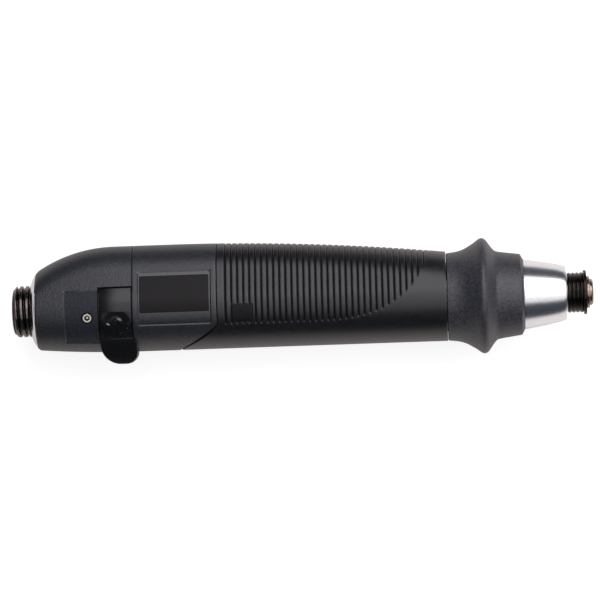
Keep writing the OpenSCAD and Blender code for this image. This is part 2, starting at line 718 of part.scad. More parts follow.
module rear_cap() {
    silencer_x = cap_x0 + silencer_at;
    step_x0 = reverse_valve_x0 - joint_gap;
    step_x1 = reverse_valve_x1 + joint_gap;
    color("#2b2d31") difference() {
        cap_skin();
        turned([
            [cap_x0 - over, 0], [cap_x0 - over, cap_bore_r], [step_x0, cap_bore_r],
            [step_x0, valve_bore_r], [step_x1, valve_bore_r],
            [step_x1, cap_bore_r], [cap_x1 + over, cap_bore_r], [cap_x1 + over, 0]
        ]);
        bar(silencer_x, silencer_x + silencer_len, cap_bore_r + silencer_wall);
        sector(lever_x0 - lever_side_gap, cap_x1 + over, neck_r, palm_h,
            lever_angles[0] - slot_margin, lever_angles[1] + lever_turn + slot_margin);
        sector(pin_x - lever_pin_d / 2 - lever_side_gap, pin_x + lever_pin_d / 2 + lever_side_gap,
            reverse_valve_d / 2 - over, neck_r + over,
            pin_angle - pin_slot_margin, pin_angle + lever_turn + pin_slot_margin);
        radial_bar(screw_x, screw_angle, collar_d / 2 - over, palm_h, screw_d / 2);
        radial_bar(screw_x, screw_angle, screw_seat_r, palm_h, screw_head_d / 2 + screw_head_play);
        radial_bar(detent_x, 0, reverse_valve_d / 2 - over, valve_bore_r + detent_depth,
            detent_ball_d / 2 + ball_play);
        for (a = exhaust_angles)
            radial_bar(silencer_x + silencer_len / 2, a, cap_bore_r, palm_h, exhaust_hole_d / 2);
    }
}

module cap_screw() {
    color("#c9cbcc") difference() {
        union() {
            radial_bar(screw_x, screw_angle, screw_end_r, screw_seat_r + over, screw_d / 2);
            radial_bar(screw_x, screw_angle, screw_seat_r, screw_top_r, screw_head_d / 2);
        }
        translate([screw_x, 0, 0]) rotate([screw_angle - 90, 0, 0])
            translate([0, 0, screw_top_r - screw_head_h * screw_socket_share])
                cylinder(h = screw_head_h, r = screw_key / 2 / cos(30), $fn = 6);
    }
}

module exhaust_silencer() {
    x0 = cap_x0 + silencer_at + ball_play;
    color("#b9b2a0")
        tube(x0, x0 + silencer_len - 2 * ball_play, cap_bore_r + silencer_wall - ball_play, cap_bore_r);
}

module inlet_bushing() {
    r = inlet_thread_d / 2;
    neck = dome_x0 - inlet_chamfer;
    color("#25262a") difference() {
        turned([
            [0, 0], [0, r - inlet_chamfer], [inlet_chamfer, r], [neck, r], [dome_x0, r - inlet_chamfer],
            [dome_x0, inlet_stub_d / 2], [stub_x1, inlet_stub_d / 2], [stub_x1, 0]
        ]);
        bar(-over, inlet_port_len, inlet_port_d / 2);
        bar(-over, screen_seat_x1, screen_d / 2);
        bar(-over, stub_x1 + over, inlet_passage_d / 2);
    }
}

module inlet_screen() {
    r = screen_d / 2 - ball_play;
    x1 = screen_seat_x1 - ball_play;
    color("#b08d57") difference() {
        bar(screen_x0, x1, r);
        bar(screen_x0 + screen_wall, x1 + over, r - screen_wall);
        for (i = [-screen_rows : screen_rows]) for (j = [-screen_rows : screen_rows])
            if (abs(i) + abs(j) < 2 * screen_rows)
                translate([0, i * screen_pitch, j * screen_pitch])
                    bar(screen_x0 - over, screen_x0 + screen_wall + over, screen_hole_d / 2);
    }
}

module end_collar() {
    r = collar_d / 2;
    ring_x = cap_x0 + collar_ring_at;
    groove = collar_ring_wire / 2 + ball_play;
    stub_r = inlet_stub_d / 2;
    color("#d5d6d8") difference() {
        turned(concat(
            [[dome_x0, stub_r]],
            [for (a = [0 : 10 : 90])
                [dome_x0 + dome_len * (1 - cos(a)), stub_r + (dome_d / 2 - stub_r) * sin(a)]],
            [[cap_x0, r], [ring_x - groove, r], [ring_x - groove, r - 2 * groove],
             [ring_x + groove, r - 2 * groove], [ring_x + groove, r], [collar_x1, r],
             [collar_x1, chamber_d / 2], [stub_x1, chamber_d / 2], [stub_x1, stub_r]]
        ));
        radial_bar(screw_x, screw_angle, screw_end_r, collar_d, screw_d / 2);
    }
}

module collar_o_ring() {
    color("#1a1a1a")
        wire_ring(cap_x0 + collar_ring_at, collar_d / 2 - collar_ring_wire / 2, collar_ring_wire);
}

module valve_seat() {
    r = seat_hole_d / 2;
    color("#c2a15a") turned([
        [seat_x0 - seat_lip, r], [seat_x0 - seat_lip, r + seat_lip], [seat_x0, r + 2 * seat_lip],
        [seat_x0, chamber_d / 2], [seat_x1, chamber_d / 2], [seat_x1, r]
    ]);
}

module throttle_valve() {
    color("#2f5d3a") union() {
        bar(valve_x0, valve_x1, valve_d / 2);
        bar(valve_x0 - valve_guide_len, valve_x0 + over, valve_guide_d / 2);
    }
}

module valve_spring() {
    color("#a9acb0") coil(stub_x1 + ball_play, valve_x0 - ball_play, valve_spring_d / 2,
        valve_spring_wire, valve_spring_turns);
}

module push_rod() {
    color("#b9bcc0") bar(valve_x1, spindle_x0 - ball_play, push_rod_d / 2);
}

module reverse_valve() {
    r = reverse_valve_d / 2;
    groove_r = detent_ball_d / 2 + ball_play;
    color("#9a7b4f") difference() {
        bar(reverse_valve_x0, reverse_valve_x1, r);
        bar(reverse_valve_x0 - over, reverse_valve_x1 + over, rod_bore_d / 2);
        wire_ring(detent_x, r + detent_ball_d / 4, 2 * groove_r);
        for (a = reverse_port_angles)
            rotate([a, 0, 0]) translate([0, r / 2 + reverse_port_d / 4, 0])
                bar(reverse_valve_x0 - over, reverse_valve_x1 + over, reverse_port_d / 2);
        radial_bar(pin_x, pin_angle, r - lever_pin_d, r + over, lever_pin_d / 2);
    }
}

module lever_pin() {
    color("#c9cbcc") radial_bar(pin_x, pin_angle, reverse_valve_d / 2 - lever_pin_d,
        lever_r - lever_wall / 2, lever_pin_d / 2);
}

module detent_ball() {
    r = reverse_valve_d / 2 + detent_ball_d / 4;
    color("#d5d6d8") translate([detent_x, r, 0]) sphere(d = detent_ball_d);
}

module detent_spring() {
    ball_top = reverse_valve_d / 2 + detent_ball_d / 4 + detent_ball_d / 2;
    wire = detent_ball_d / 6;
    color("#a9acb0") translate([detent_x, 0, 0]) rotate([0, 0, 90])
        coil(ball_top - wire / 2, valve_bore_r + detent_depth - ball_play,
            detent_ball_d / 2 - wire, wire, detent_spring_turns);
}

// Outline of the thumb tab from the near side, in from its edges by an inset
function tab_outline(inset) = let (
        w = tab_w / 2 - inset,
        mid = lever_x1 + tab_ahead - tab_w / 2,
        low_w = w * tab_taper_share,
        foot = tab_drop - inset,
        rear = tab_rear_corner - inset,
        corner = tab_corner - inset
    ) concat(
        [[mid - w, -tab_ledge - inset]],
        [for (a = [0 : 15 : 90]) [mid - low_w + rear * (1 - cos(a)), -foot + rear * (1 - sin(a))]],
        [for (a = [90 : -15 : 0])
            [mid + low_w - corner * (1 - cos(a)), -foot + corner * (1 - sin(a))]],
        [[mid + w, -tab_ledge - inset]]
    );
// A thin slice of the tab, tilted about its ledge
module tab_slice(z, tilt, inset) {
    translate([0, -tab_ledge, z]) rotate([tilt, 0, 0]) linear_extrude(ball_play)
        polygon([for (p = tab_outline(inset)) [p[0], (p[1] + tab_ledge) / cos(tilt)]]);
}

module reverse_lever() {
    clear_r = handle_r + lever_side_gap;
    color("#26272b") difference() {
        union() {
            sector(lever_x0, lever_x1, lever_in_r, lever_r, lever_angles[0], lever_angles[1]);
            difference() {
                hull() {
                    tab_slice(tab_front - tab_t, 0, tab_edge);
                    tab_slice(tab_front - tab_t + tab_edge, 0, 0);
                    tab_slice(tab_front - tab_edge, tab_slope, 0);
                    tab_slice(tab_front - ball_play, tab_slope, tab_edge);
                }
                bar(lever_x0 - over, lever_x1 + over, lever_in_r + lever_wall / 2);
                bar(lever_x1, lever_x1 + tab_w, clear_r);
            }
        }
        radial_bar(pin_x, pin_angle, lever_in_r - over, lever_r - lever_wall / 2, lever_pin_d / 2);
    }
}

module handle_body() {
    color("#2f3136") difference() {
        union() {
            label_skin();
            bar(cap_x1, grip_x1, tube_d / 2);
        }
        bar(cap_x1 - over, grip_x1 + over, tube_bore_d / 2);
    }
}

module grip() {
    color("#1f2024") difference() {
        grip_skin();
        bar(cap_x1, grip_x1 + over, tube_d / 2);
    }
}

module rear_end_plate() {
    bearing_x0 = plate_x1 - rotor_bearing_w - joint_gap;
    color("#8d9094") difference() {
        union() {
            bar(plate_x0, plate_x1, motor_d / 2);
            bar(cap_x1 - spigot_len, plate_x0 + over, collar_d / 2);
        }
        bar(cap_x1 - spigot_len - over, plate_x1 + over, rod_bore_d / 2);
        bar(bearing_x0, plate_x1 + over, rotor_bearing_d / 2);
        bar(bearing_x0 - joint_gap - over, plate_x1, rotor_bearing_bore / 2 + joint_gap);
        for (a = plate_port_angles)
            rotate([a, 0, 0]) translate([0, (rotor_bearing_d + motor_d) / 4, 0])
                bar(cap_x1 - spigot_len - over, plate_x1 + over, plate_port_d / 2);
        rotate([180, 0, 0]) translate([0, dowel_r, 0])
            bar(plate_x1 - dowel_seat, plate_x1 + over, dowel_d / 2);
    }
}

module rear_bearing() {
    color("#c9cbcc") bearing(plate_x1 - rotor_bearing_w - joint_gap, rotor_bearing_w,
        rotor_bearing_bore, rotor_bearing_d);
}

// The cylinder's bore is set off the axis, so its wall is thin at the swell side
bore_shift = cylinder_bore_d / 2 - rotor_d / 2 - rotor_gap;
dowel_r = (rotor_d / 2 + rotor_gap + motor_d / 2) / 2;
module motor_cylinder() {
    color("#9da0a4") difference() {
        bar(plate_x1, cylinder_x1, motor_d / 2);
        translate([0, bore_shift, 0]) bar(plate_x1 - over, cylinder_x1 + over, cylinder_bore_d / 2);
        rotate([180, 0, 0]) translate([0, dowel_r, 0])
            bar(plate_x1 - over, cylinder_x1 + over, dowel_d / 2);
        for (s = cylinder_port_shares)
            radial_bar(plate_x1 + s * cylinder_len, 0, rotor_d / 2, motor_d, cylinder_port_d / 2);
    }
}

module alignment_pin() {
    color("#c9cbcc") rotate([180, 0, 0]) translate([0, dowel_r, 0])
        bar(plate_x1 - dowel_seat, cylinder_x1 + dowel_seat, dowel_d / 2);
}

// Points of a spur gear with involute flanks; grow is negative for a thinned tooth
function roll(r, base) = let (a = acos(min(1, base / r))) tan(a) * 180 / PI - a;
function gear_outline(teeth, r_root, r_tip, grow) = let (
        pitch_r = gear_module * teeth / 2,
        base = pitch_r * cos(pressure_angle),
        half = 90 / teeth + grow / pitch_r * 180 / PI + roll(pitch_r, base),
        start = max(base, r_root),
        rise = (r_tip - start) / flank_steps,
        flank = [for (k = [0 : flank_steps]) let (r = start + rise * k) [r, half - roll(r, base)]],
        side = concat(r_root < start ? [[r_root, half]] : [], flank)
    ) [for (t = [0 : teeth - 1]) each concat(
        [for (p = side) let (a = 360 * t / teeth - p[1]) [p[0] * cos(a), p[0] * sin(a)]],
        [for (k = [len(side) - 1 : -1 : 0])
            let (p = side[k], a = 360 * t / teeth + p[1]) [p[0] * cos(a), p[0] * sin(a)]]
    )];
sun_root_r = sun_pitch_r - outer_root_share * gear_module;
sun_tip_r = sun_pitch_r + outer_tip_share * gear_module;

module rotor() {
    r = rotor_bearing_bore / 2 - bearing_play;
    x0 = plate_x1 - rotor_bearing_w - joint_gap;
    x1 = cylinder_x1 - rotor_end_gap;
    color("#b4b7ba") difference() {
        union() {
            bar(x0, front_plate_x1 + gear_end_gap, r);
            bar(plate_x1 + rotor_end_gap, x1, rotor_d / 2);
            axial(front_plate_x1) linear_extrude(planet_x1 - front_plate_x1)
                polygon(gear_outline(sun_teeth, sun_root_r, sun_tip_r, -tooth_gap));
        }
        bar(x0 - over, planet_x1 + over, rod_bore_d / 2);
        for (k = [0 : vane_count - 1])
            rotate([90 + 360 * k / vane_count, 0, 0])
                translate([plate_x1, rotor_d / 2 - vane_slot_depth, -vane_slot_w / 2])
                    cube([cylinder_len, rotor_d, vane_slot_w]);
    }
}

module vanes() {
    x0 = plate_x1 + 2 * rotor_end_gap;
    width = vane_slot_w - 2 * vane_play;
    color("#7a5c35") for (k = [0 : vane_count - 1])
        rotate([90 + 360 * k / vane_count, 0, 0])
            translate([x0, rotor_d / 2 - vane_slot_depth + vane_play, -width / 2])
                cube([cylinder_len - 4 * rotor_end_gap, vane_slot_depth - 3 * vane_play, width]);
}

module front_end_plate() {
    bearing_x0 = front_plate_x1 - rotor_bearing_w - joint_gap;
    color("#8d9094") difference() {
        bar(cylinder_x1, front_plate_x1, motor_d / 2);
        bar(cylinder_x1 - over, front_plate_x1 + over, rotor_bearing_bore / 2 + joint_gap);
        bar(bearing_x0, front_plate_x1 + over, rotor_bearing_d / 2);
        rotate([180, 0, 0]) translate([0, dowel_r, 0])
            bar(cylinder_x1 - over, cylinder_x1 + dowel_seat, dowel_d / 2);
    }
}

module front_bearing() {
    color("#c9cbcc") bearing(front_plate_x1 - rotor_bearing_w - joint_gap, rotor_bearing_w,
        rotor_bearing_bore, rotor_bearing_d);
}

module ring_gear() {
    tip = ring_pitch_r - inner_tip_share * gear_module;
    color("#8a8d91") difference() {
        bar(front_plate_x1, ring_gear_x1, motor_d / 2);
        bar(front_plate_x1 - over, teeth_x0, ring_root_r + tooth_gap);
        bar(teeth_x1, ring_gear_x1 + over, ring_root_r + tooth_gap);
        axial(teeth_x0 - over) rotate(180 / ring_teeth) linear_extrude(teeth_x1 - teeth_x0 + 2 * over)
            polygon(gear_outline(ring_teeth, tip, ring_root_r, tooth_gap));
    }
}

module planet_gear(k) {
    root = planet_pitch_r - outer_root_share * gear_module;
    tip = planet_pitch_r + outer_tip_share * gear_module;
    color("#a5a8ac") rotate([planet_angles[k], 0, 0]) translate([0, planet_orbit_r, 0])
        difference() {
            axial(planet_x0) rotate(180 / planet_teeth) linear_extrude(planet_x1 - planet_x0)
                polygon(gear_outline(planet_teeth, root, tip, -tooth_gap));
            bar(planet_x0 - over, planet_x1 + over, planet_pin_d / 2 + bearing_play);
        }
}
module planet_gear_1() planet_gear(0);
module planet_gear_2() planet_gear(1);
module planet_gear_3() planet_gear(2);

module planet_pins() {
    color("#c9cbcc") for (a = planet_angles)
        rotate([a, 0, 0]) translate([0, planet_orbit_r, 0])
            bar(planet_x0 - gear_end_gap / 2, carrier_x1, planet_pin_d / 2);
}

module planet_carrier() {
    color("#7f8286") difference() {
        union() {
            bar(carrier_x0, carrier_x1, carrier_d / 2);
            bar(carrier_x1 - over, driver_x1 - pilot_len - joint_gap,
                carrier_bearing_bore / 2 - bearing_play);
        }
        bar(carrier_x0 - over, driver_x1, rod_bore_d / 2);
        for (a = planet_angles)
            rotate([a, 0, 0]) translate([0, planet_orbit_r, 0])
                bar(carrier_x0 - over, carrier_x1 + over, planet_pin_d / 2);
    }
}

module carrier_bearing() {
    color("#c9cbcc") bearing(carrier_bearing_x0, carrier_bearing_w, carrier_bearing_bore,
        carrier_bearing_d);
}

// Clutch balls sit half in the driver and half in the cam
ball_orbit_r = (clutch_d / 2 + clutch_shaft_d / 2) / 2;
module ball_set(d) {
    for (k = [0 : ball_count - 1])
        rotate([360 * k / ball_count, 0, 0]) translate([ball_x, ball_orbit_r, 0]) sphere(d = d);
}

module clutch_driver() {
    shaft_r = carrier_bearing_bore / 2 - bearing_play;
    color("#8a8d91") difference() {
        bar(driver_x0, driver_x1, clutch_d / 2);
        bar(driver_x0 - over, driver_x1 - pilot_len - joint_gap, shaft_r);
        bar(driver_x0 - over, driver_x1 + over, pilot_d / 2);
        ball_set(clutch_ball_d + 2 * ball_play);
    }
}

module clutch_balls() {
    color("#d5d6d8") ball_set(clutch_ball_d);
}

module clutch_cam() {
    color("#8a8d91") difference() {
        tube(cam_x0, cam_x1, clutch_d / 2, clutch_shaft_d / 2);
        ball_set(clutch_ball_d + 2 * ball_play);
    }
}

module clutch_spring() {
    color("#6f7276") coil(cam_x1 + ball_play, spring_x1 - ball_play, clutch_spring_d / 2,
        clutch_spring_wire, clutch_spring_turns);
}

module spring_seat() {
    color("#9da0a4") tube(spring_x1, spring_seat_x1, spring_seat_d / 2, clutch_shaft_d / 2);
}

module adjusting_nut() {
    x0 = spring_seat_x1 + ball_play;
    color("#b08d57") difference() {
        tube(x0, nut_x1, nut_d / 2, clutch_shaft_d / 2);
        for (k = [0 : key_hole_count - 1])
            radial_bar((x0 + nut_x1) / 2, 360 * k / key_hole_count, clutch_shaft_d / 2 + nut_hole_d / 2,
                nut_d, nut_hole_d / 2);
    }
}

module clutch_shaft() {
    r = clutch_shaft_d / 2 - slide_play;
    big_r = shaft_bearing_bore / 2 - bearing_play;
    color("#b4b7ba") difference() {
        union() {
            bar(driver_x1 - pilot_len, driver_x1 + over, pilot_d / 2);
            bar(driver_x1 + joint_gap, shaft_step_x + over, r);
            bar(shaft_step_x, shaft_x1, big_r);
        }
        bar(driver_x1 - pilot_len - over, shaft_x1, rod_bore_d / 2);
        hex_bar(socket_x0, shaft_x1 + over, drive_hex);
    }
}

module shaft_bearing() {
    color("#c9cbcc") bearing(shaft_bearing_x0, shaft_bearing_w, shaft_bearing_bore, shaft_bearing_d);
}

// Outside of the nose: a long shallow taper, then a round front edge
nose_shares = [[0, 1], [0.33, 0.8], [0.58, 0.64], [0.74, 0.49], [0.86, 0.32], [0.94, 0.17], [1, 0]];
module clutch_housing() {
    r = motor_d / 2;
    recess_r = sleeve_d / 2 + recess_play;
    step = nose_x1 - nose_x0;
    ring_w = guard_ring_wire / 2 + ball_play;
    color("#c6c8ca") difference() {
        turned(concat(
            [[ring_gear_x1, housing_bore_d / 2], [ring_gear_x1, r]],
            [[guard_ring_x - ring_w, r], [guard_ring_x - ring_w, r - 2 * ring_w]],
            [[guard_ring_x + ring_w, r - 2 * ring_w], [guard_ring_x + ring_w, r]],
            [[nose_x0, r]],
            [for (p = nose_shares) [nose_x0 + p[0] * step, nose_tip_r + p[1] * (nose_r - nose_tip_r)]],
            [[nose_x1, recess_r], [recess_x, recess_r], [recess_x, spindle_d / 2 + recess_play],
             [bush_x1, spindle_d / 2 + recess_play], [bush_x1, bush_d / 2],
             [shaft_bearing_x1, bush_d / 2], [shaft_bearing_x1, housing_bore_d / 2]]
        ));
        translate([nut_x1 - port_len, 0, 0]) rotate([port_angle, 0, 0])
            translate([0, nut_d / 2, -port_w / 2]) cube([port_len, motor_d, port_w]);
    }
}

module guard_o_ring() {
    color("#1a1a1a")
        wire_ring(guard_ring_x, motor_d / 2 - guard_ring_wire / 2 + ball_play, guard_ring_wire);
}

// Guard outline: shares of its length, and of the height from its waist to its flange
guard_shares = [
    [0.012, 0.09], [0.115, 0.15], [0.177, 0.22], [0.239, 0.33], [0.301, 0.5], [0.363, 0.69],
    [0.414, 0.88], [0.445, 0.97], [0.471, 1], [0.497, 0.97], [0.528, 0.85], [0.559, 0.64],
    [0.59, 0.42], [0.621, 0.23], [0.652, 0.12], [0.704, 0.06], [0.786, 0]
];
guard_foot_share = 0.6;
guard_front_share = 0.965;
guard_taper_share = 0.3;
module guard() {
    rise = guard_flange_r - guard_waist_r;
    bore = tube_bore_d / 2;
    front_r = guard_waist_r - (guard_waist_r - guard_tip_r) * guard_taper_share;
    foot_r = guard_waist_r + rise * guard_shares[0][1] * guard_foot_share;
    color("#2d2e33") difference() {
        turned(concat(
            [[guard_x0, bore], [guard_x0, foot_r]],
            [for (p = guard_shares) [guard_x0 + p[0] * guard_len, guard_waist_r + p[1] * rise]],
            [[guard_x0 + guard_front_share * guard_len, front_r], [guard_x1, guard_tip_r], [guard_x1, bore]]
        ));
        translate([nut_x1 - port_len, 0, 0]) rotate([guard_port_angle, 0, 0])
            translate([0, 0, -port_w / 2]) cube([port_len, guard_flange_r + over, port_w]);
    }
}

module spindle_bush() {
    color("#b08d57") tube(bush_x0, bush_x1, bush_d / 2, spindle_d / 2 + slide_play);
}

module spindle() {
    nose_r0 = spindle_nose_d / 2;
    color("#8f8177") difference() {
        union() {
            hex_bar(spindle_x0, spindle_step_x + over, drive_hex - 2 * hex_play);
            bar(spindle_step_x, lock_x0 - ball_play, spindle_d / 2);
            turned([[lock_x0 - over, 0], [lock_x0 - over, nose_r0], [tip_x - tip_chamfer, nose_r0],
                [tip_x, nose_r0 - tip_chamfer], [tip_x, 0]]);
        }
        tube(chuck_ring_x0, chuck_ring_x0 + chuck_ring_t, spindle_d, nose_r0 - chuck_ring_seat);
        hex_bar(tip_x - bit_depth, tip_x + over, bit_hex);
        radial_bar(chuck_ball_x, 0, 0, spindle_d, chuck_ball_d / 2 + ball_play);
    }
}

module chuck_ball() {
    r = sleeve_lock_r - ball_play - chuck_ball_d / 2;
    color("#d5d6d8") translate([chuck_ball_x, r, 0]) sphere(d = chuck_ball_d);
}

sleeve_lock_r = spindle_nose_d / 2 + slide_play;
ridge_shares = [0.3, 0.65, 0.85];
module chuck_sleeve() {
    r = sleeve_d / 2;
    relief_r = spindle_d / 2 + recess_play / 2;
    pitch = (sleeve_len - sleeve_rim_len) / ridge_count;
    rim_x = sleeve_x1 - sleeve_rim_len;
    color("#17181a") difference() {
        turned(concat(
            [[sleeve_x0, relief_r]],
            [for (k = [0 : ridge_count - 1]) each let (x = sleeve_x0 + k * pitch)
                [[x, r - sleeve_groove], [x + pitch * ridge_shares[0], r],
                 [x + pitch * ridge_shares[1], r], [x + pitch * ridge_shares[2], r - sleeve_groove]]],
            [[rim_x, r - sleeve_groove], [rim_x, sleeve_rim_d / 2], [sleeve_x1, sleeve_rim_d / 2],
             [sleeve_x1, sleeve_chamber_d / 2], [lock_x1, sleeve_chamber_d / 2],
             [lock_x1, sleeve_lock_r], [lock_x0, sleeve_lock_r], [lock_x0, relief_r]]
        ));
    }
}

module chuck_spring() {
    r = (sleeve_lock_r + sleeve_chamber_d / 2) / 2;
    color("#a9acb0") coil(lock_x1 + ball_play, chuck_ring_x0 - ball_play, r,
        chuck_spring_wire, chuck_spring_turns);
}

module retaining_ring() {
    color("#6b5a4b") tube(chuck_ring_x0, chuck_ring_x0 + chuck_ring_t, chuck_ring_d / 2,
        spindle_nose_d / 2 - chuck_ring_seat);
}

inlet_bushing();
inlet_screen();
end_collar();
collar_o_ring();
valve_seat();
valve_spring();
throttle_valve();
push_rod();
rear_cap();
cap_screw();
exhaust_silencer();
reverse_lever();
lever_pin();
reverse_valve();
detent_ball();
detent_spring();
handle_body();
grip();
rear_end_plate();
rear_bearing();
motor_cylinder();
alignment_pin();
rotor();
vanes();
front_end_plate();
front_bearing();
ring_gear();
planet_gear_1();
planet_gear_2();
planet_gear_3();
planet_pins();
planet_carrier();
carrier_bearing();
clutch_driver();
clutch_balls();
clutch_cam();
clutch_spring();
spring_seat();
adjusting_nut();
clutch_shaft();
shaft_bearing();
clutch_housing();
guard_o_ring();
guard();
spindle_bush();
spindle();
chuck_sleeve();
chuck_ball();
chuck_spring();
retaining_ring();
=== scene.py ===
import json
import math

import bpy
from mathutils import Matrix, Vector


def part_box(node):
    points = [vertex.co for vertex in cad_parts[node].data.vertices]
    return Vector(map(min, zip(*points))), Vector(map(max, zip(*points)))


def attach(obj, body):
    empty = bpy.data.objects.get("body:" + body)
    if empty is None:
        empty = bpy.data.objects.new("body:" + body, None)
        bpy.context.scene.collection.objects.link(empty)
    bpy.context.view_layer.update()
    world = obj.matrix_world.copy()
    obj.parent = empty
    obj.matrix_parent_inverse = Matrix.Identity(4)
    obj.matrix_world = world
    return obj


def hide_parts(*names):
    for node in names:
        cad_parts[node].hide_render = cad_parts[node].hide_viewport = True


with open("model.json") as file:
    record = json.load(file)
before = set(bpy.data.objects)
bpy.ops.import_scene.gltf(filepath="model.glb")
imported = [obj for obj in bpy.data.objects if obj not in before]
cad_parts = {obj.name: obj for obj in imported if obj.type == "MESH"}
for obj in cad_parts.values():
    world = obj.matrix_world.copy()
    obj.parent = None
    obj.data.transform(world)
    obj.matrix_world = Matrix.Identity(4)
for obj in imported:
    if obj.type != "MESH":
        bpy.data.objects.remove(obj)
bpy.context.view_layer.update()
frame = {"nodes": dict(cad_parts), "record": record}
nodes = frame["nodes"]
mm = 0.001
print("stage: frame loaded,", len(nodes), "CAD nodes")


# Places that come from the CAD frame, in millimetres
def spanX(node):
    low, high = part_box(node)
    return low[0] / mm, high[0] / mm


capX0, capX1 = spanX("rear_cap")
domeX0, collarX1 = spanX("end_collar")
gripX0, gripX1 = spanX("grip")
bushingX1 = spanX("inlet_bushing")[1]
guardX0, guardX1 = spanX("guard")
noseStart, noseX1 = spanX("clutch_housing")
bearingX1 = spanX("shaft_bearing")[1]
nutX1 = spanX("adjusting_nut")[1]
sleeveX0, sleeveX1 = spanX("chuck_sleeve")
ringX0, ringX1 = spanX("retaining_ring")
driveX0, tipX = spanX("spindle")
shaftX1 = spanX("clutch_shaft")[1]
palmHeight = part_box("rear_cap")[1][1] / mm
hair = 0.02      # parts two rows or skins that would else fall together


# Small helpers for modelling
def makeActive(piece):
    bpy.ops.object.select_all(action="DESELECT")
    piece.select_set(True)
    bpy.context.view_layer.objects.active = piece


def nameNew(name):
    piece = bpy.context.object
    piece.name = name
    piece.data.name = name
    return piece


def editAll():
    bpy.ops.object.mode_set(mode="EDIT")
    bpy.ops.mesh.select_all(action="SELECT")


def bakeTransform():
    bpy.ops.object.transform_apply(location=True, rotation=True, scale=True)


def cleanNormals(piece):
    makeActive(piece)
    editAll()
    bpy.ops.mesh.remove_doubles(threshold=0.004 * mm)
    bpy.ops.mesh.normals_make_consistent(inside=False)
    bpy.ops.object.mode_set(mode="OBJECT")


def smoothShade(piece, degrees=35):
    makeActive(piece)
    bpy.ops.object.shade_smooth_by_angle(angle=math.radians(degrees))


def bevelEdges(piece, width, segments=2, degrees=40):
    makeActive(piece)
    modifier = piece.modifiers.new("edge", "BEVEL")
    modifier.width = width * mm
    modifier.segments = segments
    modifier.limit_method = "ANGLE"
    modifier.angle_limit = math.radians(degrees)
    bpy.ops.object.modifier_apply(modifier="edge")


def cutBy(piece, cutter, operation="DIFFERENCE"):
    makeActive(piece)
    modifier = piece.modifiers.new("cut", "BOOLEAN")
    modifier.operation = operation
    modifier.solver = "EXACT"
    modifier.object = cutter
    bpy.ops.object.modifier_apply(modifier="cut")
    bpy.data.objects.remove(cutter)


def around(x, radius, angle):
    t = math.radians(angle)
    return x, radius * math.cos(t), radius * math.sin(t)


# A closed skin wrapped round the tool axis: a grid whose rows and columns are placed by a rule
def wrapSkin(name, rows, columns, putVertex):
    along, turns = len(rows), len(columns)
    bpy.ops.mesh.primitive_grid_add(x_subdivisions=along, y_subdivisions=turns, size=2)
    piece = nameNew(name)
    for vertex in piece.data.vertices:
        i = round((vertex.co.x + 1) / 2 * along) % along
        j = round((vertex.co.y + 1) / 2 * turns) % turns
        vertex.co = [c * mm for c in putVertex(rows[i], columns[j])]
    cleanNormals(piece)
    return piece


# A turned piece: an outline of (x, radius) points is drawn edge by edge and spun about the axis
def spinOutline(name, outline, steps, angle=360, start=0):
    points = [Vector(around(x, r, start)) * mm for x, r in outline]
    bpy.ops.mesh.primitive_plane_add(size=mm)
    piece = nameNew(name)
    bpy.ops.object.mode_set(mode="EDIT")
    bpy.ops.mesh.merge(type="CENTER")
    bpy.ops.transform.translate(value=points[0])
    for before, after in zip(points, points[1:] + points[:1]):
        bpy.ops.mesh.extrude_region_move(TRANSFORM_OT_translate={"value": after - before})
    bpy.ops.mesh.select_all(action="SELECT")
    bpy.ops.mesh.remove_doubles(threshold=0.0005 * mm)
    bpy.ops.mesh.select_all(action="SELECT")
    bpy.ops.mesh.spin(steps=steps, angle=-math.radians(angle), center=(0, 0, 0), axis=(1, 0, 0))
    if angle < 360:
        bpy.ops.mesh.select_all(action="SELECT")
        bpy.ops.mesh.fill_holes(sides=0)
    bpy.ops.object.mode_set(mode="OBJECT")
    cleanNormals(piece)
    return piece


def makeBar(name, length, radius, sides, turn, middle):
    bpy.ops.mesh.primitive_cylinder_add(vertices=sides, radius=radius * mm, depth=length * mm)
    piece = nameNew(name)
    piece.rotation_euler = turn
    piece.location = [c * mm for c in middle]
    bakeTransform()
    return piece


# A round or hexagonal bar that points out from the axis at an angle, or lies along it
def radialBar(name, x, angle, r0, r1, radius, sides=32):
    turn = (math.radians(angle) - math.pi / 2, 0, 0)
    return makeBar(name, r1 - r0, radius, sides, turn, around(x, (r0 + r1) / 2, angle))


def axialBar(name, x0, x1, radius, sides):
    return makeBar(name, x1 - x0, radius, sides, (0, math.pi / 2, 0), ((x0 + x1) / 2, 0, 0))


def boxCutter(name, low, high):
    bpy.ops.mesh.primitive_cube_add(size=1)
    piece = nameNew(name)
    piece.scale = [(b - a) * mm for a, b in zip(low, high)]
    piece.location = [(a + b) / 2 * mm for a, b in zip(low, high)]
    bakeTransform()
    return piece


def joinPieces(first, others):
    makeActive(first)
    for other in others:
        other.select_set(True)
    bpy.ops.object.join()
    return first


def spread(a, b, count):
    return [a + (b - a) * k / count for k in range(count + 1)]


def ease(t):
    t = min(1, max(0, t))
    return t * t * (3 - 2 * t)


# Catmull-Rom curve through the outline's points
def smoothLine(points, steps):
    padded = [points[0]] + points + [points[-1]]
    line = []
    for a, b, c, d in zip(padded, padded[1:], padded[2:], padded[3:]):
        for k in range(steps):
            t = k / steps
            line.append(tuple(
                0.5 * (2 * b[i] + (c[i] - a[i]) * t + (2 * a[i] - 5 * b[i] + 4 * c[i] - d[i]) * t ** 2
                       + (3 * b[i] - a[i] - 3 * c[i] + d[i]) * t ** 3)
                for i in (0, 1)))
    return line + [points[-1]]


# Materials
def linearChannel(c):
    return c / 12.92 if c <= 0.04045 else ((c + 0.055) / 1.055) ** 2.4


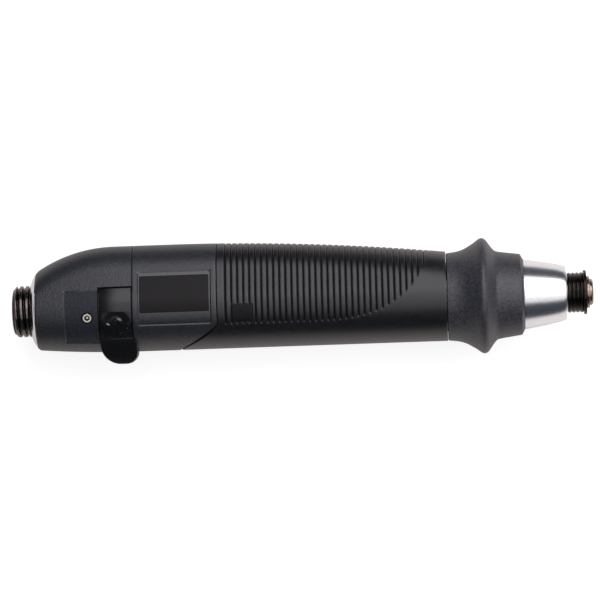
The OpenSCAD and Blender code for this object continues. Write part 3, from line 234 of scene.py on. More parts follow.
def hexColour(text):
    return tuple(linearChannel(int(text[i:i + 2], 16) / 255) for i in (1, 3, 5)) + (1,)


def addNode(tree, kind, values=None, links=None, **settings):
    node = tree.nodes.new(kind)
    for key, value in settings.items():
        setattr(node, key, value)
    for key, value in (values or {}).items():
        node.inputs[key].default_value = value
    for key, source in (links or {}).items():
        tree.links.new(source, node.inputs[key])
    return node


# Colour from two tones mixed by noise, and a bump of grain: the base of every finish here
def grainFinish(name, dark, light, toneMm, grainMm, grainDepth, rough, metal=0.0, contrast=0.5,
                stretch=(1, 1, 1), roughVary=0.06, specular=0.5):
    material = bpy.data.materials.new(name)
    material.use_nodes = True
    tree = material.node_tree
    shader = tree.nodes["Principled BSDF"]
    spot = addNode(tree, "ShaderNodeTexCoord")
    shader.inputs["Metallic"].default_value = metal
    shader.inputs["Specular IOR Level"].default_value = specular
    mapping = addNode(tree, "ShaderNodeMapping", {"Scale": stretch}, {"Vector": spot.outputs["Object"]})
    where = {"Vector": mapping.outputs["Vector"]}
    tone = addNode(tree, "ShaderNodeTexNoise",
                   {"Scale": 1 / (toneMm * mm), "Detail": 4.0, "Roughness": 0.6}, where)
    ramp = addNode(tree, "ShaderNodeValToRGB", links={"Fac": tone.outputs["Fac"]})
    ramp.color_ramp.elements[0].position = 0.5 - contrast / 2
    ramp.color_ramp.elements[0].color = hexColour(dark)
    ramp.color_ramp.elements[1].position = 0.5 + contrast / 2
    ramp.color_ramp.elements[1].color = hexColour(light)
    tree.links.new(ramp.outputs["Color"], shader.inputs["Base Color"])
    sheen = addNode(tree, "ShaderNodeMapRange",
                    {"To Min": rough - roughVary, "To Max": rough + roughVary},
                    {"Value": tone.outputs["Fac"]})
    tree.links.new(sheen.outputs["Result"], shader.inputs["Roughness"])
    grain = addNode(tree, "ShaderNodeTexNoise",
                    {"Scale": 1 / (grainMm * mm), "Detail": 3.0, "Roughness": 0.55}, where)
    bump = addNode(tree, "ShaderNodeBump", {"Strength": 1.0, "Distance": grainDepth * mm},
                   {"Height": grain.outputs["Fac"]})
    tree.links.new(bump.outputs["Normal"], shader.inputs["Normal"])
    return material


# Dark and light tone, size of the tone's patches, size and depth of the grain in mm, roughness.
# The grains are drawn coarser than real ones, because a pixel shows 0.43 mm
finishFacts = {
    # Glass-filled nylon from a spark-eroded mould: dull, with a fine speckle
    "charcoalNylon": ("#12161a", "#20252b", 0.9, 0.9, 0.13, 0.44, {"contrast": 0.3, "specular": 0.7}),
    # Painted shade on the panel: a bluer, duller copy of the nylon that mirrors less light back, so the
    # panel looks darker than the cap round it
    "panelShadeNylon": ("#181c23", "#242a32", 0.9, 0.9, 0.08, 0.5, {"contrast": 0.3, "specular": 0.3}),
    # The label's seat is polished for its adhesive, so its sheen is stronger
    "seatNylon": ("#12161a", "#20252b", 0.9, 0.9, 0.07, 0.34, {"contrast": 0.3, "specular": 0.8}),
    # The guard's mould is eroded coarser, so it looks lighter and dustier
    "guardNylon": ("#1b1e22", "#3a3b42", 1.0, 0.9, 0.17, 0.48, {"contrast": 0.3, "specular": 0.7}),
    # Thermoplastic rubber: deep grey, soft shine on the crowns
    "gripRubber": ("#0b0c0f", "#15161a", 2.2, 0.7, 0.03, 0.36, {"contrast": 0.4, "specular": 0.56}),
    # The flat pad in the grip keeps the mould's matt finish
    "padRubber": ("#0b0c0f", "#15161a", 1.2, 0.8, 0.06, 0.5, {"contrast": 0.4, "specular": 0.2}),
    # Polished acetal: nearly black, with the shine of a smooth mould
    "blackAcetal": ("#0b0c0e", "#111214", 3.0, 1.4, 0.008, 0.28,
                    {"contrast": 0.5, "roughVary": 0.04, "specular": 0.42}),
    # The mould's arrow is left bright where it was cut
    "polishedAcetal": ("#0b0c0e", "#111214", 3.0, 1.4, 0.004, 0.16,
                       {"contrast": 0.5, "roughVary": 0.03, "specular": 1.0}),
    # Bare foil label
    "labelFoil": ("#0b090a", "#110f10", 4.0, 1.0, 0.004, 0.4, {"contrast": 0.6, "specular": 0.18}),
    # Black oxide on machined steel: dark, oily sheen
    "blackOxide": ("#1d1b1a", "#322e2c", 1.5, 0.6, 0.006, 0.2, {"metal": 0.9}),
    # The thread's oxide is rubbed thin on its crests by fittings
    "wornOxide": ("#585250", "#746d69", 1.5, 0.6, 0.006, 0.16, {"metal": 0.95}),
    # Polished steel: a mirror with faint polishing marks
    "polishedSteel": ("#cfd0d2", "#dcdddf", 5.0, 0.8, 0.002, 0.1, {"metal": 1.0, "roughVary": 0.03}),
    # Turned and bead-blasted aluminium: bright, with a fine sparkle
    "satinAluminium": ("#dadbde", "#eeeff0", 0.8, 0.6, 0.035, 0.24,
                       {"metal": 1.0, "contrast": 0.5, "roughVary": 0.05}),
    # Ground steel for springs, pins and bearings
    "groundSteel": ("#9b9da1", "#b9bbbe", 1.5, 0.4, 0.004, 0.28, {"metal": 1.0, "stretch": (1, 4, 4)}),
    # Zinc plate on the cap screw: pale, with a warm cast
    "zincPlate": ("#bdb7aa", "#d2cdc2", 1.2, 0.4, 0.004, 0.2, {"metal": 1.0}),
    # Hardened gear steel, darker from heat
    "hardSteel": ("#6f7175", "#84868a", 2.0, 0.5, 0.006, 0.34, {"metal": 1.0}),
    # Tempered spindle: straw to brown heat tint
    "temperedSteel": ("#77685f", "#a59587", 1.8, 0.6, 0.006, 0.24, {"metal": 1.0}),
    # Sintered bronze: warm and porous
    "sinteredBronze": ("#93723f", "#ab8850", 0.6, 0.4, 0.02, 0.42, {"metal": 1.0}),
    # Nitrile rubber of the seals
    "sealRubber": ("#141414", "#1c1c1c", 1.2, 0.5, 0.01, 0.5, {}),
    # Phenolic laminate of the vanes
    "vaneLaminate": ("#5b4023", "#7a5932", 0.8, 0.4, 0.02, 0.55, {"stretch": (1, 5, 5)}),
    # Pressed felt of the silencer
    "pressedFelt": ("#a39b89", "#c4bca8", 0.7, 0.4, 0.1, 0.9, {}),
}
finishes = {name: grainFinish(name, *facts[:-1], **facts[-1]) for name, facts in finishFacts.items()}
slotFinish = {
    "black_oxide_steel": "blackOxide", "polished_steel": "polishedSteel",
    "satin_aluminium": "satinAluminium", "steel": "groundSteel", "hardened_steel": "hardSteel",
    "spindle_steel": "temperedSteel", "charcoal_nylon": "charcoalNylon", "black_acetal": "blackAcetal",
    "grip_rubber": "gripRubber", "guard_nylon": "guardNylon", "bronze": "sinteredBronze",
    "seal_rubber": "sealRubber", "vane_laminate": "vaneLaminate", "felt": "pressedFelt",
}


def dress(piece, finish):
    piece.data.materials.clear()
    piece.data.materials.append(finishes[finish])


# Gives a second finish to the faces that a rule picks by station, radius and angle
def dressFaces(piece, finish, isPicked):
    piece.data.materials.append(finishes[finish])
    for face in piece.data.polygons:
        x, y, z = face.center / mm
        if isPicked(x, math.hypot(y, z), math.degrees(math.atan2(z, y)) % 360):
            face.material_index = 1


def place(piece, body, slotName, *replaced, finish=None):
    dress(piece, finish or slotFinish[slotName])
    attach(piece, body)
    if replaced:
        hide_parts(*replaced)


for part in frame["record"]["subparts"]:
    dress(nodes[part["node"]], slotFinish[part["material_slot"]])
print("stage: finishes made,", len(finishes))

# Camera above the guard, turned to look at the middle of the tool
cameraSet = {
    "eye": (185.35, 0.88, 1400),
    "target": (122.81, 0.88, 0),
    "axisTilt": 2.0,        # the tool rises to the right by this, in degrees
    "lensMm": 196.3,
    "sensorMm": 36,
}


def addCamera():
    s = cameraSet
    eye, target = Vector(s["eye"]), Vector(s["target"])
    tilt = math.radians(s["axisTilt"])
    back = (eye - target).normalized()
    right = Vector((math.cos(tilt), -math.sin(tilt), 0))
    right = (right - right.dot(back) * back).normalized()
    data = bpy.data.cameras.new("camera")
    data.sensor_width = s["sensorMm"]
    data.lens = s["lensMm"]
    data.clip_start = 0.05
    data.clip_end = 50
    camera = bpy.data.objects.new("camera", data)
    turn = Matrix((right, back.cross(right), back)).transposed().to_4x4()
    camera.matrix_world = Matrix.Translation(eye * mm) @ turn
    bpy.context.scene.collection.objects.link(camera)
    bpy.context.scene.camera = camera


addCamera()
print("stage: camera placed")

# The moulded housing's egg section, the same rule as the CAD's
shellSet = {
    "handleRadius": 18.8,
    "palmArcRadius": 61,
    "palmArcLength": 33,
    "tailDrop": 1.9,
    "frontDrop": 7.2,
    "crestAt": 16,
    "narrowShare": 0.48,
    "tongue": 16.9,
    "labelDrop": 7.7,
    "seamPower": 1.4,
}


def swellHeight(x):
    d = max(0, capX0 + shellSet["palmArcLength"] - x)
    radius = shellSet["palmArcRadius"]
    rear = radius - math.sqrt(radius * radius - d * d)
    reach = gripX1 - capX1 - shellSet["crestAt"]
    front = shellSet["frontDrop"] * (max(0, x - capX1 - shellSet["crestAt"]) / reach) ** 2
    return palmHeight - rear - front


def underRadius(x):
    return shellSet["handleRadius"] - shellSet["tailDrop"] * (max(0, capX1 - x) / (capX1 - capX0)) ** 2


def eggRadius(x, angle):
    big = underRadius(x)
    rise = max(0, swellHeight(x) - big)
    small = big - shellSet["narrowShare"] * rise
    centre = big + rise - small
    t = math.radians(360 - angle if angle > 180 else angle)
    if rise < 0.02:
        return big
    meet = math.acos(min(1, (big - small) / centre))
    top = math.atan2(small * math.sin(meet), centre + small * math.cos(meet))
    if t >= meet:
        return big
    if t >= top:
        return big / math.cos(t - meet)
    return centre * math.cos(t) + math.sqrt(small * small - (centre * math.sin(t)) ** 2)


def angleAtHeight(x, height):
    low, high = 0.0, 180.0
    for _ in range(30):
        middle = (low + high) / 2
        if eggRadius(x, middle) * math.cos(math.radians(middle)) > height:
            low = middle
        else:
            high = middle
    return low


# Angles in even steps, with a close pair at each edge that has to be crisp
def crispAngles(step, edges, soften):
    even = [k * step for k in range(round(360 / step))]
    pairs = [e + d for e in edges for d in (-soften, soften)]
    kept = [a for a in even if all(abs(a - e) > soften * 2.2 for e in edges)]
    return sorted(kept + pairs)


def within(value, low, high):
    return low <= value <= high


# The joints between the mouldings show as open lines
seamSet = {
    "capGap": 0.16,
    "capDepth": 1.2,
    "gripGap": 0.12,
    "slantGap": 0.4,
    "slantReach": 4,
}

# Rear cap
capSet = {
    "edge": 0.7,
    "frontEdge": 0.2,
    "panelDepth": 0.35,
    "panelLength": 14.4,
    "panelAngles": (64, 142),
    "panelSlope": 0.25,
    "panelEase": 0.8,
    "slotAngles": (60.7, 289.2),
    "neckRadius": 15.8,
    "boreRadius": 13.45,
    "screwAt": 22.5,
    "screwAngle": 102,
    "screwSink": 0.3,
    "headDiameter": 4.5,
    "headHeight": 2.2,
    "headPlay": 0.25,
    "headChamfer": 0.45,
    "keyDepth": 1.3,
    "pointRadius": 0.45,
    "keyFlats": 2.3,
    "sideGap": 0.3,
    "slotEase": 0.15,
    "bandLength": 14.0,
    "exhaustAt": 6.1,
    "exhaustAngles": (240, 255, 270, 285, 300),
    "exhaustDiameter": 1.8,
}
bandX1 = capX1 - capSet["sideGap"]
bandX0 = bandX1 - capSet["bandLength"]
slotX0 = bandX0 - capSet["sideGap"] - capSet["slotEase"]
screwX = capX0 + capSet["screwAt"]
screwTop = underRadius(screwX) - capSet["panelDepth"] - capSet["screwSink"]


def makeRearCap():
    s = capSet
    panelX0 = slotX0 - s["panelLength"]
    edge, lip = s["edge"], s["frontEdge"]
    rows = [("outer", capX0 + edge * (1 - math.cos(t)), edge * (1 - math.sin(t)))
            for t in spread(0, math.pi / 2, 5)]
    slope = s["panelSlope"]
    marks = [panelX0 - slope, panelX0 + slope, slotX0 - hair, slotX0 + hair]
    even = [x for x in spread(capX0 + 1.2, capX1 - 0.9, 60) if all(abs(x - m) > 0.25 for m in marks)]
    rows += [("outer", x, 0) for x in sorted(even + marks)]
    gap, deep = seamSet["capGap"], seamSet["capDepth"]
    rows += [("outer", capX1 - gap - lip, 0), ("outer", capX1 - gap, lip), ("outer", capX1 - gap, deep)]
    rows += [("outer", capX1, deep)]
    rows += [("inner", x, 0) for x in (capX1, (capX0 + capX1) / 2, capX0)]
    low, high = s["panelAngles"]
    slotLow, slotHigh = s["slotAngles"]
    angles = crispAngles(2, [low, high], s["panelEase"])
    angles = sorted([a for a in angles if min(abs(a - slotLow), abs(a - slotHigh)) > 0.4]
                    + [slotLow - hair, slotLow + hair, slotHigh - hair, slotHigh + hair])

    def putVertex(row, angle):
        kind, x, inset = row
        if kind == "inner":
            return around(x, s["boreRadius"], angle)
        if x > slotX0 and within(angle, slotLow, slotHigh):
            return around(x, s["neckRadius"], angle)
        sunk = s["panelDepth"] if within(x, panelX0, slotX0) and within(angle, low, high) else 0
        return around(x, eggRadius(x, angle) - inset - sunk, angle)

    cap = wrapSkin("rearCap", rows, angles, putVertex)
    bore = s["headDiameter"] / 2 + s["headPlay"]
    seat = screwTop - s["headHeight"]
    cutters = [radialBar("screwPocket", screwX, s["screwAngle"], seat, palmHeight, bore)]
    for angle in s["exhaustAngles"]:
        cutters.append(radialBar("exhaust", capX0 + s["exhaustAt"], angle, s["boreRadius"] - 1,
                                 palmHeight, s["exhaustDiameter"] / 2, 20))
    cutBy(cap, joinPieces(cutters[0], cutters[1:]))
    smoothShade(cap, 32)
    place(cap, "housing", "charcoal_nylon", "rear_cap")

    def isPanel(x, radius, angle):
        depth = eggRadius(x, angle) - radius
        return within(x, panelX0, slotX0) and within(angle, low, high) and within(depth, 0.2, 1)

    # The panel's faces take the painted-shade copy of the nylon
    dressFaces(cap, "panelShadeNylon", isPanel)


def makeCapScrew():
    s = capSet
    seat = screwTop - s["headHeight"]
    angle = s["screwAngle"]
    screw = radialBar("capScrew", screwX, angle, seat, screwTop, s["headDiameter"] / 2, 48)
    bevelEdges(screw, s["headChamfer"], 1)
    hexRadius = s["keyFlats"] / 2 / math.cos(math.radians(30))
    floor = screwTop - s["keyDepth"]
    cutBy(screw, radialBar("socket", screwX, angle, floor, screwTop + 1, hexRadius, 6))
    point = radialBar("point", screwX, angle, floor - 0.2, floor + 0.5, s["pointRadius"], 12)
    cutBy(screw, point, "UNION")
    smoothShade(screw)
    place(screw, "housing", "polished_steel", "cap_screw", finish="zincPlate")

    def isShadedSocket(x, radius, turn):
        off = math.radians(turn - angle)
        height = radius * math.cos(off)
        reach = math.hypot(x - screwX, radius * math.sin(off))
        onPoint = height > floor + 0.1 and reach < 0.5
        return within(height, floor - 0.01, screwTop - 0.05) and reach < hexRadius and not onPoint

    # Painted shade: the socket's walls and floor take the dark oxide finish, while the point at its
    # bottom stays zinc
    dressFaces(screw, "blackOxide", isShadedSocket)


makeRearCap()
makeCapScrew()
print("stage: rear cap and screw")

# Label section, with the tube that runs on under the grip
bodySet = {
    "margin": 2.5,
    "recessDepth": 0.4,
    "topAngle": 44,
    "tubeRadius": 16.6,
    "boreRadius": 14.75,
    "edge": 0.16,
    "soften": 0.25,
    "slope": 0.75,
}
labelX1 = gripX0 + shellSet["tongue"]
dropAngle = math.degrees(math.acos(-shellSet["labelDrop"] / shellSet["handleRadius"]))


def seamX(angle):
    drop = -shellSet["handleRadius"] * math.cos(math.radians(angle))
    share = max(0, drop - shellSet["labelDrop"]) / (shellSet["handleRadius"] - shellSet["labelDrop"])
    return labelX1 - shellSet["tongue"] * share ** shellSet["seamPower"]


# Half the open line between label section and grip, wider where it slants
def seamGap(angle):
    share = ease((labelX1 - seamX(angle)) / seamSet["slantReach"])
    return seamSet["gripGap"] + seamSet["slantGap"] * share


def makeHandleBody():
    s = bodySet
    edge, soften = s["edge"], s["soften"]
    x0, x1 = capX1 + s["margin"], labelX1 - s["margin"]
    marks = [x0 - soften, x0 + soften, x1 - soften, x1 + soften]
    even = [x for x in spread(capX1 + 0.6, labelX1 - 1.2, 44) if all(abs(x - m) > 0.3 for m in marks)]
    rows = [("outer", capX1, edge), ("outer", capX1 + 0.08, edge * 0.3), ("outer", capX1 + edge, 0)]
    rows += [("outer", x, 0) for x in sorted(even + marks)]
    rows += [("rim", edge, 0), ("rim", 0.05, edge * 0.4), ("rim", 0, edge)]
    rows += [("seam", labelX1, 0), ("tube", gripX1, s["tubeRadius"] - hair),
             ("tube", gripX1, s["boreRadius"]), ("tube", capX1, s["boreRadius"])]
    angles = crispAngles(2, [s["topAngle"], dropAngle], s["slope"])

    def putVertex(row, angle):
        kind, x, inset = row
        if kind == "tube":
            return around(x, inset, angle)
        if kind == "seam":
            return around(seamX(angle), s["tubeRadius"] - hair, angle)
        if kind == "rim":
            rimX = seamX(angle) - seamGap(angle) - x
            return around(rimX, eggRadius(rimX, angle) - inset, angle)
        sunk = 0
        if within(x, x0, x1) and within(angle, s["topAngle"], dropAngle):
            sunk = s["recessDepth"]
        shear = (seamX(angle) - capX1) / (labelX1 - capX1)
        skinX = capX1 + (x - capX1) * shear
        return around(skinX, eggRadius(skinX, angle) - inset - sunk, angle)

    body = wrapSkin("handleBody", rows, angles, putVertex)
    smoothShade(body, 32)
    place(body, "housing", "charcoal_nylon", "handle_body")

    def isSeat(x, radius, angle):
        return x > x0 and within(eggRadius(x, angle) - radius, s["recessDepth"] * 0.8, 1)

    dressFaces(body, "seatNylon", isSeat)


labelSet = {
    "x0": 55.4,
    "x1": 85.0,
    "top": 13.5,
    "bottom": -2.4,
    "thick": 0.14,
    "corner": 0.4,
}


def makeLabel():
    s = labelSet
    bpy.ops.mesh.primitive_grid_add(x_subdivisions=60, y_subdivisions=40, size=2)
    label = nameNew("labelPlate")
    halfW = (s["x1"] - s["x0"]) / 2
    halfH = (s["top"] - s["bottom"]) / 2
    corner = s["corner"]
    for vertex in label.data.vertices:
        u, w = vertex.co.x * halfW, vertex.co.y * halfH
        overU, overW = abs(u) - (halfW - corner), abs(w) - (halfH - corner)
        if overU > 0 and overW > 0:
            reach = math.hypot(overU, overW)
            limit = max(overU, overW)
            u = math.copysign(halfW - corner + overU * limit / reach, u)
            w = math.copysign(halfH - corner + overW * limit / reach, w)
        x = s["x0"] + halfW + u
        height = s["bottom"] + halfH + w
        angle = angleAtHeight(x, height)
        radius = eggRadius(x, angle) - bodySet["recessDepth"] + 0.01
        vertex.co = [c * mm for c in around(x, radius, angle)]
    modifier = label.modifiers.new("thick", "SOLIDIFY")
    makeActive(label)
    modifier.thickness = s["thick"] * mm
    modifier.offset = 1
    bpy.ops.object.modifier_apply(modifier="thick")
    cleanNormals(label)
    bevelEdges(label, 0.05)
    smoothShade(label)
    place(label, "housing", "charcoal_nylon", finish="labelFoil")


makeHandleBody()
makeLabel()
print("stage: label section")

# Ribbed rubber grip
gripSet = {
    "pitch": 2.56,
    "depth": 0.5,
    "crown": 0.14,
    "grooveShare": 0.16,
    "margin": 3.6,
    "countShare": 0.91,
    "endAngle": 117,         # the grooves reach this far down the side, then draw up in a curve
    "leastAngle": 3,
    "curveShare": 0.39,
    "curvePower": 3,
    "fade": 2.2,
    "rowBend": 0.045,
    "edge": 0.25,
    "rim": 0.1,
    "padX": (94.3, 103.4),
    "padHeights": (-7.4, 0.3),
    "padEdge": 0.35,
    "padSink": 0.04,
    "padRim": 0.22,
    "ribRows": 10,
}
ribX0 = labelX1 + gripSet["margin"]
ribCount = math.floor(gripSet["countShare"] * (gripX1 - labelX1) / gripSet["pitch"])
ribX1 = ribX0 + ribCount * gripSet["pitch"]


def ribEndAngle(x):
    u = ((x - ribX0) / (ribX1 - ribX0) - gripSet["curveShare"]) / (1 - gripSet["curveShare"])
    u = min(1, max(0, u))
    end = gripSet["endAngle"] * math.sqrt(max(0, 1 - u ** gripSet["curvePower"]))
    return max(gripSet["leastAngle"], end)


def grooveDepth(x):
    reach = gripSet["pitch"] * gripSet["grooveShare"]
    if not within(x, ribX0 - reach, ribX1 + reach):
        return 0
    t = ((x - ribX0) / gripSet["pitch"]) % 1
    off = min(t, 1 - t)
    groove = gripSet["depth"] * (1 - ease(off / gripSet["grooveShare"]))
    crown = gripSet["crown"] * (1 - off * 2) ** 2 if ribX0 < x < ribX1 else 0
    return max(groove, crown)


# Share of the ribs that is kept, and how far the skin lies back: the pad has no ribs and a sunk rim
def padMask(x, angle):
    x0, x1 = gripSet["padX"]
    if angle > 180 or not within(x, x0 - 1, x1 + 1):
        return 1, 0
    height = eggRadius(x, angle) * math.cos(math.radians(angle))
    low, high = gripSet["padHeights"]
    inside = min(x - x0, x1 - x, height - low, high - height)
    if inside > gripSet["padEdge"]:
        return 0, gripSet["padSink"]
    if inside > 0:
        return 0, gripSet["padRim"]
    return 1, 0


# Rows of the grip's bore, close enough to follow the columns as they swing round with the ribs
def boreStations(ribs):
    stations = [gripX1]
    for x in reversed(ribs):
        if ribEndAngle(x) - ribEndAngle(stations[-1]) > 3:
            stations.append(x)
    return stations


def makeGrip():
    edge = gripSet["edge"]
    ribs = []
    for k in range(ribCount + 1):
        for n in range(gripSet["ribRows"]):
            share = n / gripSet["ribRows"]
            bent = share - gripSet["rowBend"] * math.sin(4 * math.pi * share)
            ribs.append(ribX0 + (k + bent) * gripSet["pitch"])
    ribs = [x for x in ribs if x <= ribX1 + 0.5]
    rim = gripSet["rim"]
    startX = ribX0 - gripSet["pitch"] * (gripSet["grooveShare"] + 0.02)
    rows = [("seam", 0, edge), ("seam", 0.08, edge * 0.4), ("seam", edge, 0), ("seam", 0.8, 0)]
    rows += [("seamShare", s, 0) for s in (0.25, 0.5, 0.75)]
    rows += [("skin", startX, 0)]
    rows += [("skin", ribX0 - gripSet["pitch"] * s, 0) for s in (0.11, 0.06)]
    rows += [("skin", x, 0) for x in ribs]
    rows += [("skin", x, 0) for x in spread(ribX1 + 0.8, gripX1 - rim, 5)]
    rows += [("skin", gripX1, rim)]
    rows += [("inner", x, 0) for x in boreStations(ribs)] + [("innerSeam", 0, 0)]
    ribShares = [k / 75 for k in range(74)] + [0.985, 0.993]
    smoothSteps = 26
    columns = [("rib", s) for s in ribShares] + [("plain", k / smoothSteps) for k in range(smoothSteps)]
    columns += [("far", c) for c in [("plain", k / smoothSteps) for k in range(smoothSteps, 0, -1)]
                + [("plain", 0)] + [("rib", s) for s in reversed(ribShares[1:])]]

    def columnAngle(column, x):
        kind, share = column
        if kind == "far":
            return 360 - columnAngle(share, x)
        end = ribEndAngle(x)
        return share * end if kind == "rib" else end + (180 - end) * share

    def putVertex(row, column):
        kind, value, inset = row
        angle = columnAngle(column, value if kind in ("skin", "inner") else ribX0)
        if kind == "inner":
            return around(value, bodySet["tubeRadius"], angle)
        if kind == "innerSeam":
            return around(seamX(angle), bodySet["tubeRadius"], angle)
        x = value
        seam = seamX(angle) + seamGap(angle)
        if kind == "seam":
            x = seam + value * (0.35 + 0.65 * ease((labelX1 - seamX(angle)) / 3))
        if kind == "seamShare":
            x = seam + 0.8 + (startX - (seam + 0.8)) * value
        near = 360 - angle if angle > 180 else angle
        fade = ease((ribEndAngle(x) - near) / gripSet["fade"]) if kind == "skin" else 0
        kept, sunk = padMask(x, angle)
        return around(x, eggRadius(x, angle) - inset - grooveDepth(x) * fade * kept - sunk, angle)

    grip = wrapSkin("rubberGrip", rows, columns, putVertex)
    smoothShade(grip, 60)
    place(grip, "housing", "grip_rubber", "grip")

    def isPad(x, radius, angle):
        return radius > bodySet["tubeRadius"] + 1 and padMask(x, angle)[0] == 0

    dressFaces(grip, "padRubber", isPad)


makeGrip()
print("stage: grip")

# Reverse lever: a band with a thumb tab and an engraved direction arrow
leverSet = {
    "outer": 18.7,
    "inner": 16.0,
    "angles": (62.8, 258),
    "sideEase": 0.12,
    "corner": 0.3,
    "tabDrop": 23.8,
    "tabLedge": 12.6,
    "tabWidth": 15.6,
    "tabAhead": 1.4,
    "tabFront": 14.0,
    "tabThick": 11.5,
    "tabSlopes": (20, 40),
    "tabCorners": (8, 5.2),
    "tabFlare": 0.5,
    "tabEdge": 1.3,
    "clearRadius": 19.1,
}
arrowSet = {
    "centre": (45.5, -6.3),       # along the tool and across it, as seen from above
    "radius": 3.3,
    "width": 1.8,
    "turn": (166, -34),           # from tail to head, in degrees
    "headLength": 2.9,
    "headHalf": 2.0,
    "headRise": 0.9,
    "deep": 0.55,
    "slant": 1.05,
    "clear": 0.3,
    "reach": 6,
}


def tabOutline():
    s = leverSet
    foot, ledge = s["tabDrop"], s["tabLedge"]
    half = s["tabWidth"] / 2
    middle = bandX1 + s["tabAhead"] - half
    rear, front = s["tabCorners"]
    quarter = spread(0, math.pi / 2, 12)
    x0, x1 = middle - half, middle + half
    outline = [(x0, -ledge)]
    outline += [(x0 + rear * (1 - math.cos(t)), -foot + rear * (1 - math.sin(t))) for t in quarter]
    outline += [(x1 - front * (1 - math.cos(t)), -foot + front * (1 - math.sin(t)))
                for t in reversed(quarter)]
    return outline + [(x1 - s["tabFlare"], -ledge)]


# How far the tab's face lies behind its ledge, for a slope that grows towards the foot
def tabFall(y):
    down = -leverSet["tabLedge"] - y
    first, last = (math.tan(math.radians(t)) for t in leverSet["tabSlopes"])
    reach = leverSet["tabDrop"] - leverSet["tabLedge"]
    return first * down + (last - first) * down * down / (2 * reach)


def makeTab():
    s = leverSet
    outline = tabOutline()
    bpy.ops.mesh.primitive_circle_add(vertices=len(outline), fill_type="NGON")
    tab = nameNew("tab")
    back = s["tabFront"] - s["tabThick"]
    for vertex, (x, y) in zip(tab.data.vertices, outline):
        vertex.co = (x * mm, y * mm, back * mm)
    editAll()
    bpy.ops.mesh.extrude_region_move(TRANSFORM_OT_translate={"value": (0, 0, s["tabThick"] * mm)})
    for y in spread(s["tabLedge"], s["tabDrop"], 8)[1:-1]:
        bpy.ops.mesh.select_all(action="SELECT")
        bpy.ops.mesh.bisect(plane_co=(0, -y * mm, 0), plane_no=(0, 1, 0))
    bpy.ops.object.mode_set(mode="OBJECT")
    for vertex in tab.data.vertices:
        if vertex.co.z > (back + 1) * mm:
            vertex.co.z -= tabFall(vertex.co.y / mm) * mm
    cleanNormals(tab)
    bevelEdges(tab, s["tabEdge"], 5, 50)
    middle = (s["inner"] + s["outer"]) / 2
    cutBy(tab, axialBar("tabBore", bandX0 - 5, bandX1 + 0.01, middle, 128))
    cutBy(tab, axialBar("tabClear", bandX1 - 0.01, bandX1 + 20, s["clearRadius"], 128))
    return tab


# Lays a cutter on the curved band, its foot sunk in and its top clear of it
def sinkArrow(cutter):
    x0, y0 = arrowSet["centre"]
    for vertex in cutter.data.vertices:
        high = vertex.co.z > 0
        radius = leverSet["outer"] + (arrowSet["clear"] if high else -arrowSet["deep"])
        x, y = x0 + vertex.co.x / mm, y0 + vertex.co.y / mm
        vertex.co = (x * mm, y * mm, math.sqrt(radius * radius - y * y) * mm)
    cleanNormals(cutter)
    return cutter


def makeArrowArc():
    half, slant = arrowSet["width"] / 2, arrowSet["slant"]
    tail, head = (math.radians(t) for t in arrowSet["turn"])
    bpy.ops.mesh.primitive_circle_add(vertices=4)
    arc = nameNew("arrowArc")
    corners = [(-half - slant, 1), (-half, -1), (half, -1), (half + slant, 1)]
    for vertex, (side, height) in zip(arc.data.vertices, corners):
        reach = arrowSet["radius"] + side
        vertex.co = (reach * math.cos(tail) * mm, reach * math.sin(tail) * mm, height * mm)
    editAll()
    bpy.ops.mesh.spin(steps=44, angle=tail - head, center=(0, 0, 0), axis=(0, 0, 1))
    bpy.ops.mesh.select_all(action="SELECT")
    bpy.ops.mesh.fill_holes(sides=0)
    bpy.ops.object.mode_set(mode="OBJECT")
    return sinkArrow(arc)


def makeArrowTail():
    half, slant = arrowSet["width"] / 2, arrowSet["slant"]
    tail = math.radians(arrowSet["turn"][0])
    centre = (arrowSet["radius"] * math.cos(tail) * mm, arrowSet["radius"] * math.sin(tail) * mm, 0)
    bpy.ops.mesh.primitive_cone_add(vertices=28, radius1=half * mm, radius2=(half + slant) * mm,
                                    depth=2 * mm, location=centre)
    cone = nameNew("arrowTail")
    bakeTransform()
    return sinkArrow(cone)


def makeArrowHead():
    head = math.radians(arrowSet["turn"][1])
    out = Vector((math.cos(head), math.sin(head)))
    ahead = Vector((math.sin(head), -math.cos(head)))
    base = out * arrowSet["radius"]
    corners = [base - out * arrowSet["headHalf"], base + out * arrowSet["headHalf"],
               base + ahead * arrowSet["headLength"]]
    middle = (corners[0] + corners[1] + corners[2]) / 3
    bpy.ops.mesh.primitive_circle_add(vertices=3, fill_type="NGON")
    wedge = nameNew("arrowHead")
    for vertex, corner in zip(wedge.data.vertices, corners):
        vertex.co = (corner.x * mm, corner.y * mm, -mm)
    editAll()
    bpy.ops.mesh.extrude_region_move(TRANSFORM_OT_translate={"value": (0, 0, 2 * mm)})
    bpy.ops.object.mode_set(mode="OBJECT")
    wider = 1 + arrowSet["slant"] / arrowSet["headRise"]
    for vertex in wedge.data.vertices:
        if vertex.co.z > 0:
            vertex.co.x = (middle.x + (vertex.co.x / mm - middle.x) * wider) * mm
            vertex.co.y = (middle.y + (vertex.co.y / mm - middle.y) * wider) * mm
    return sinkArrow(wedge)


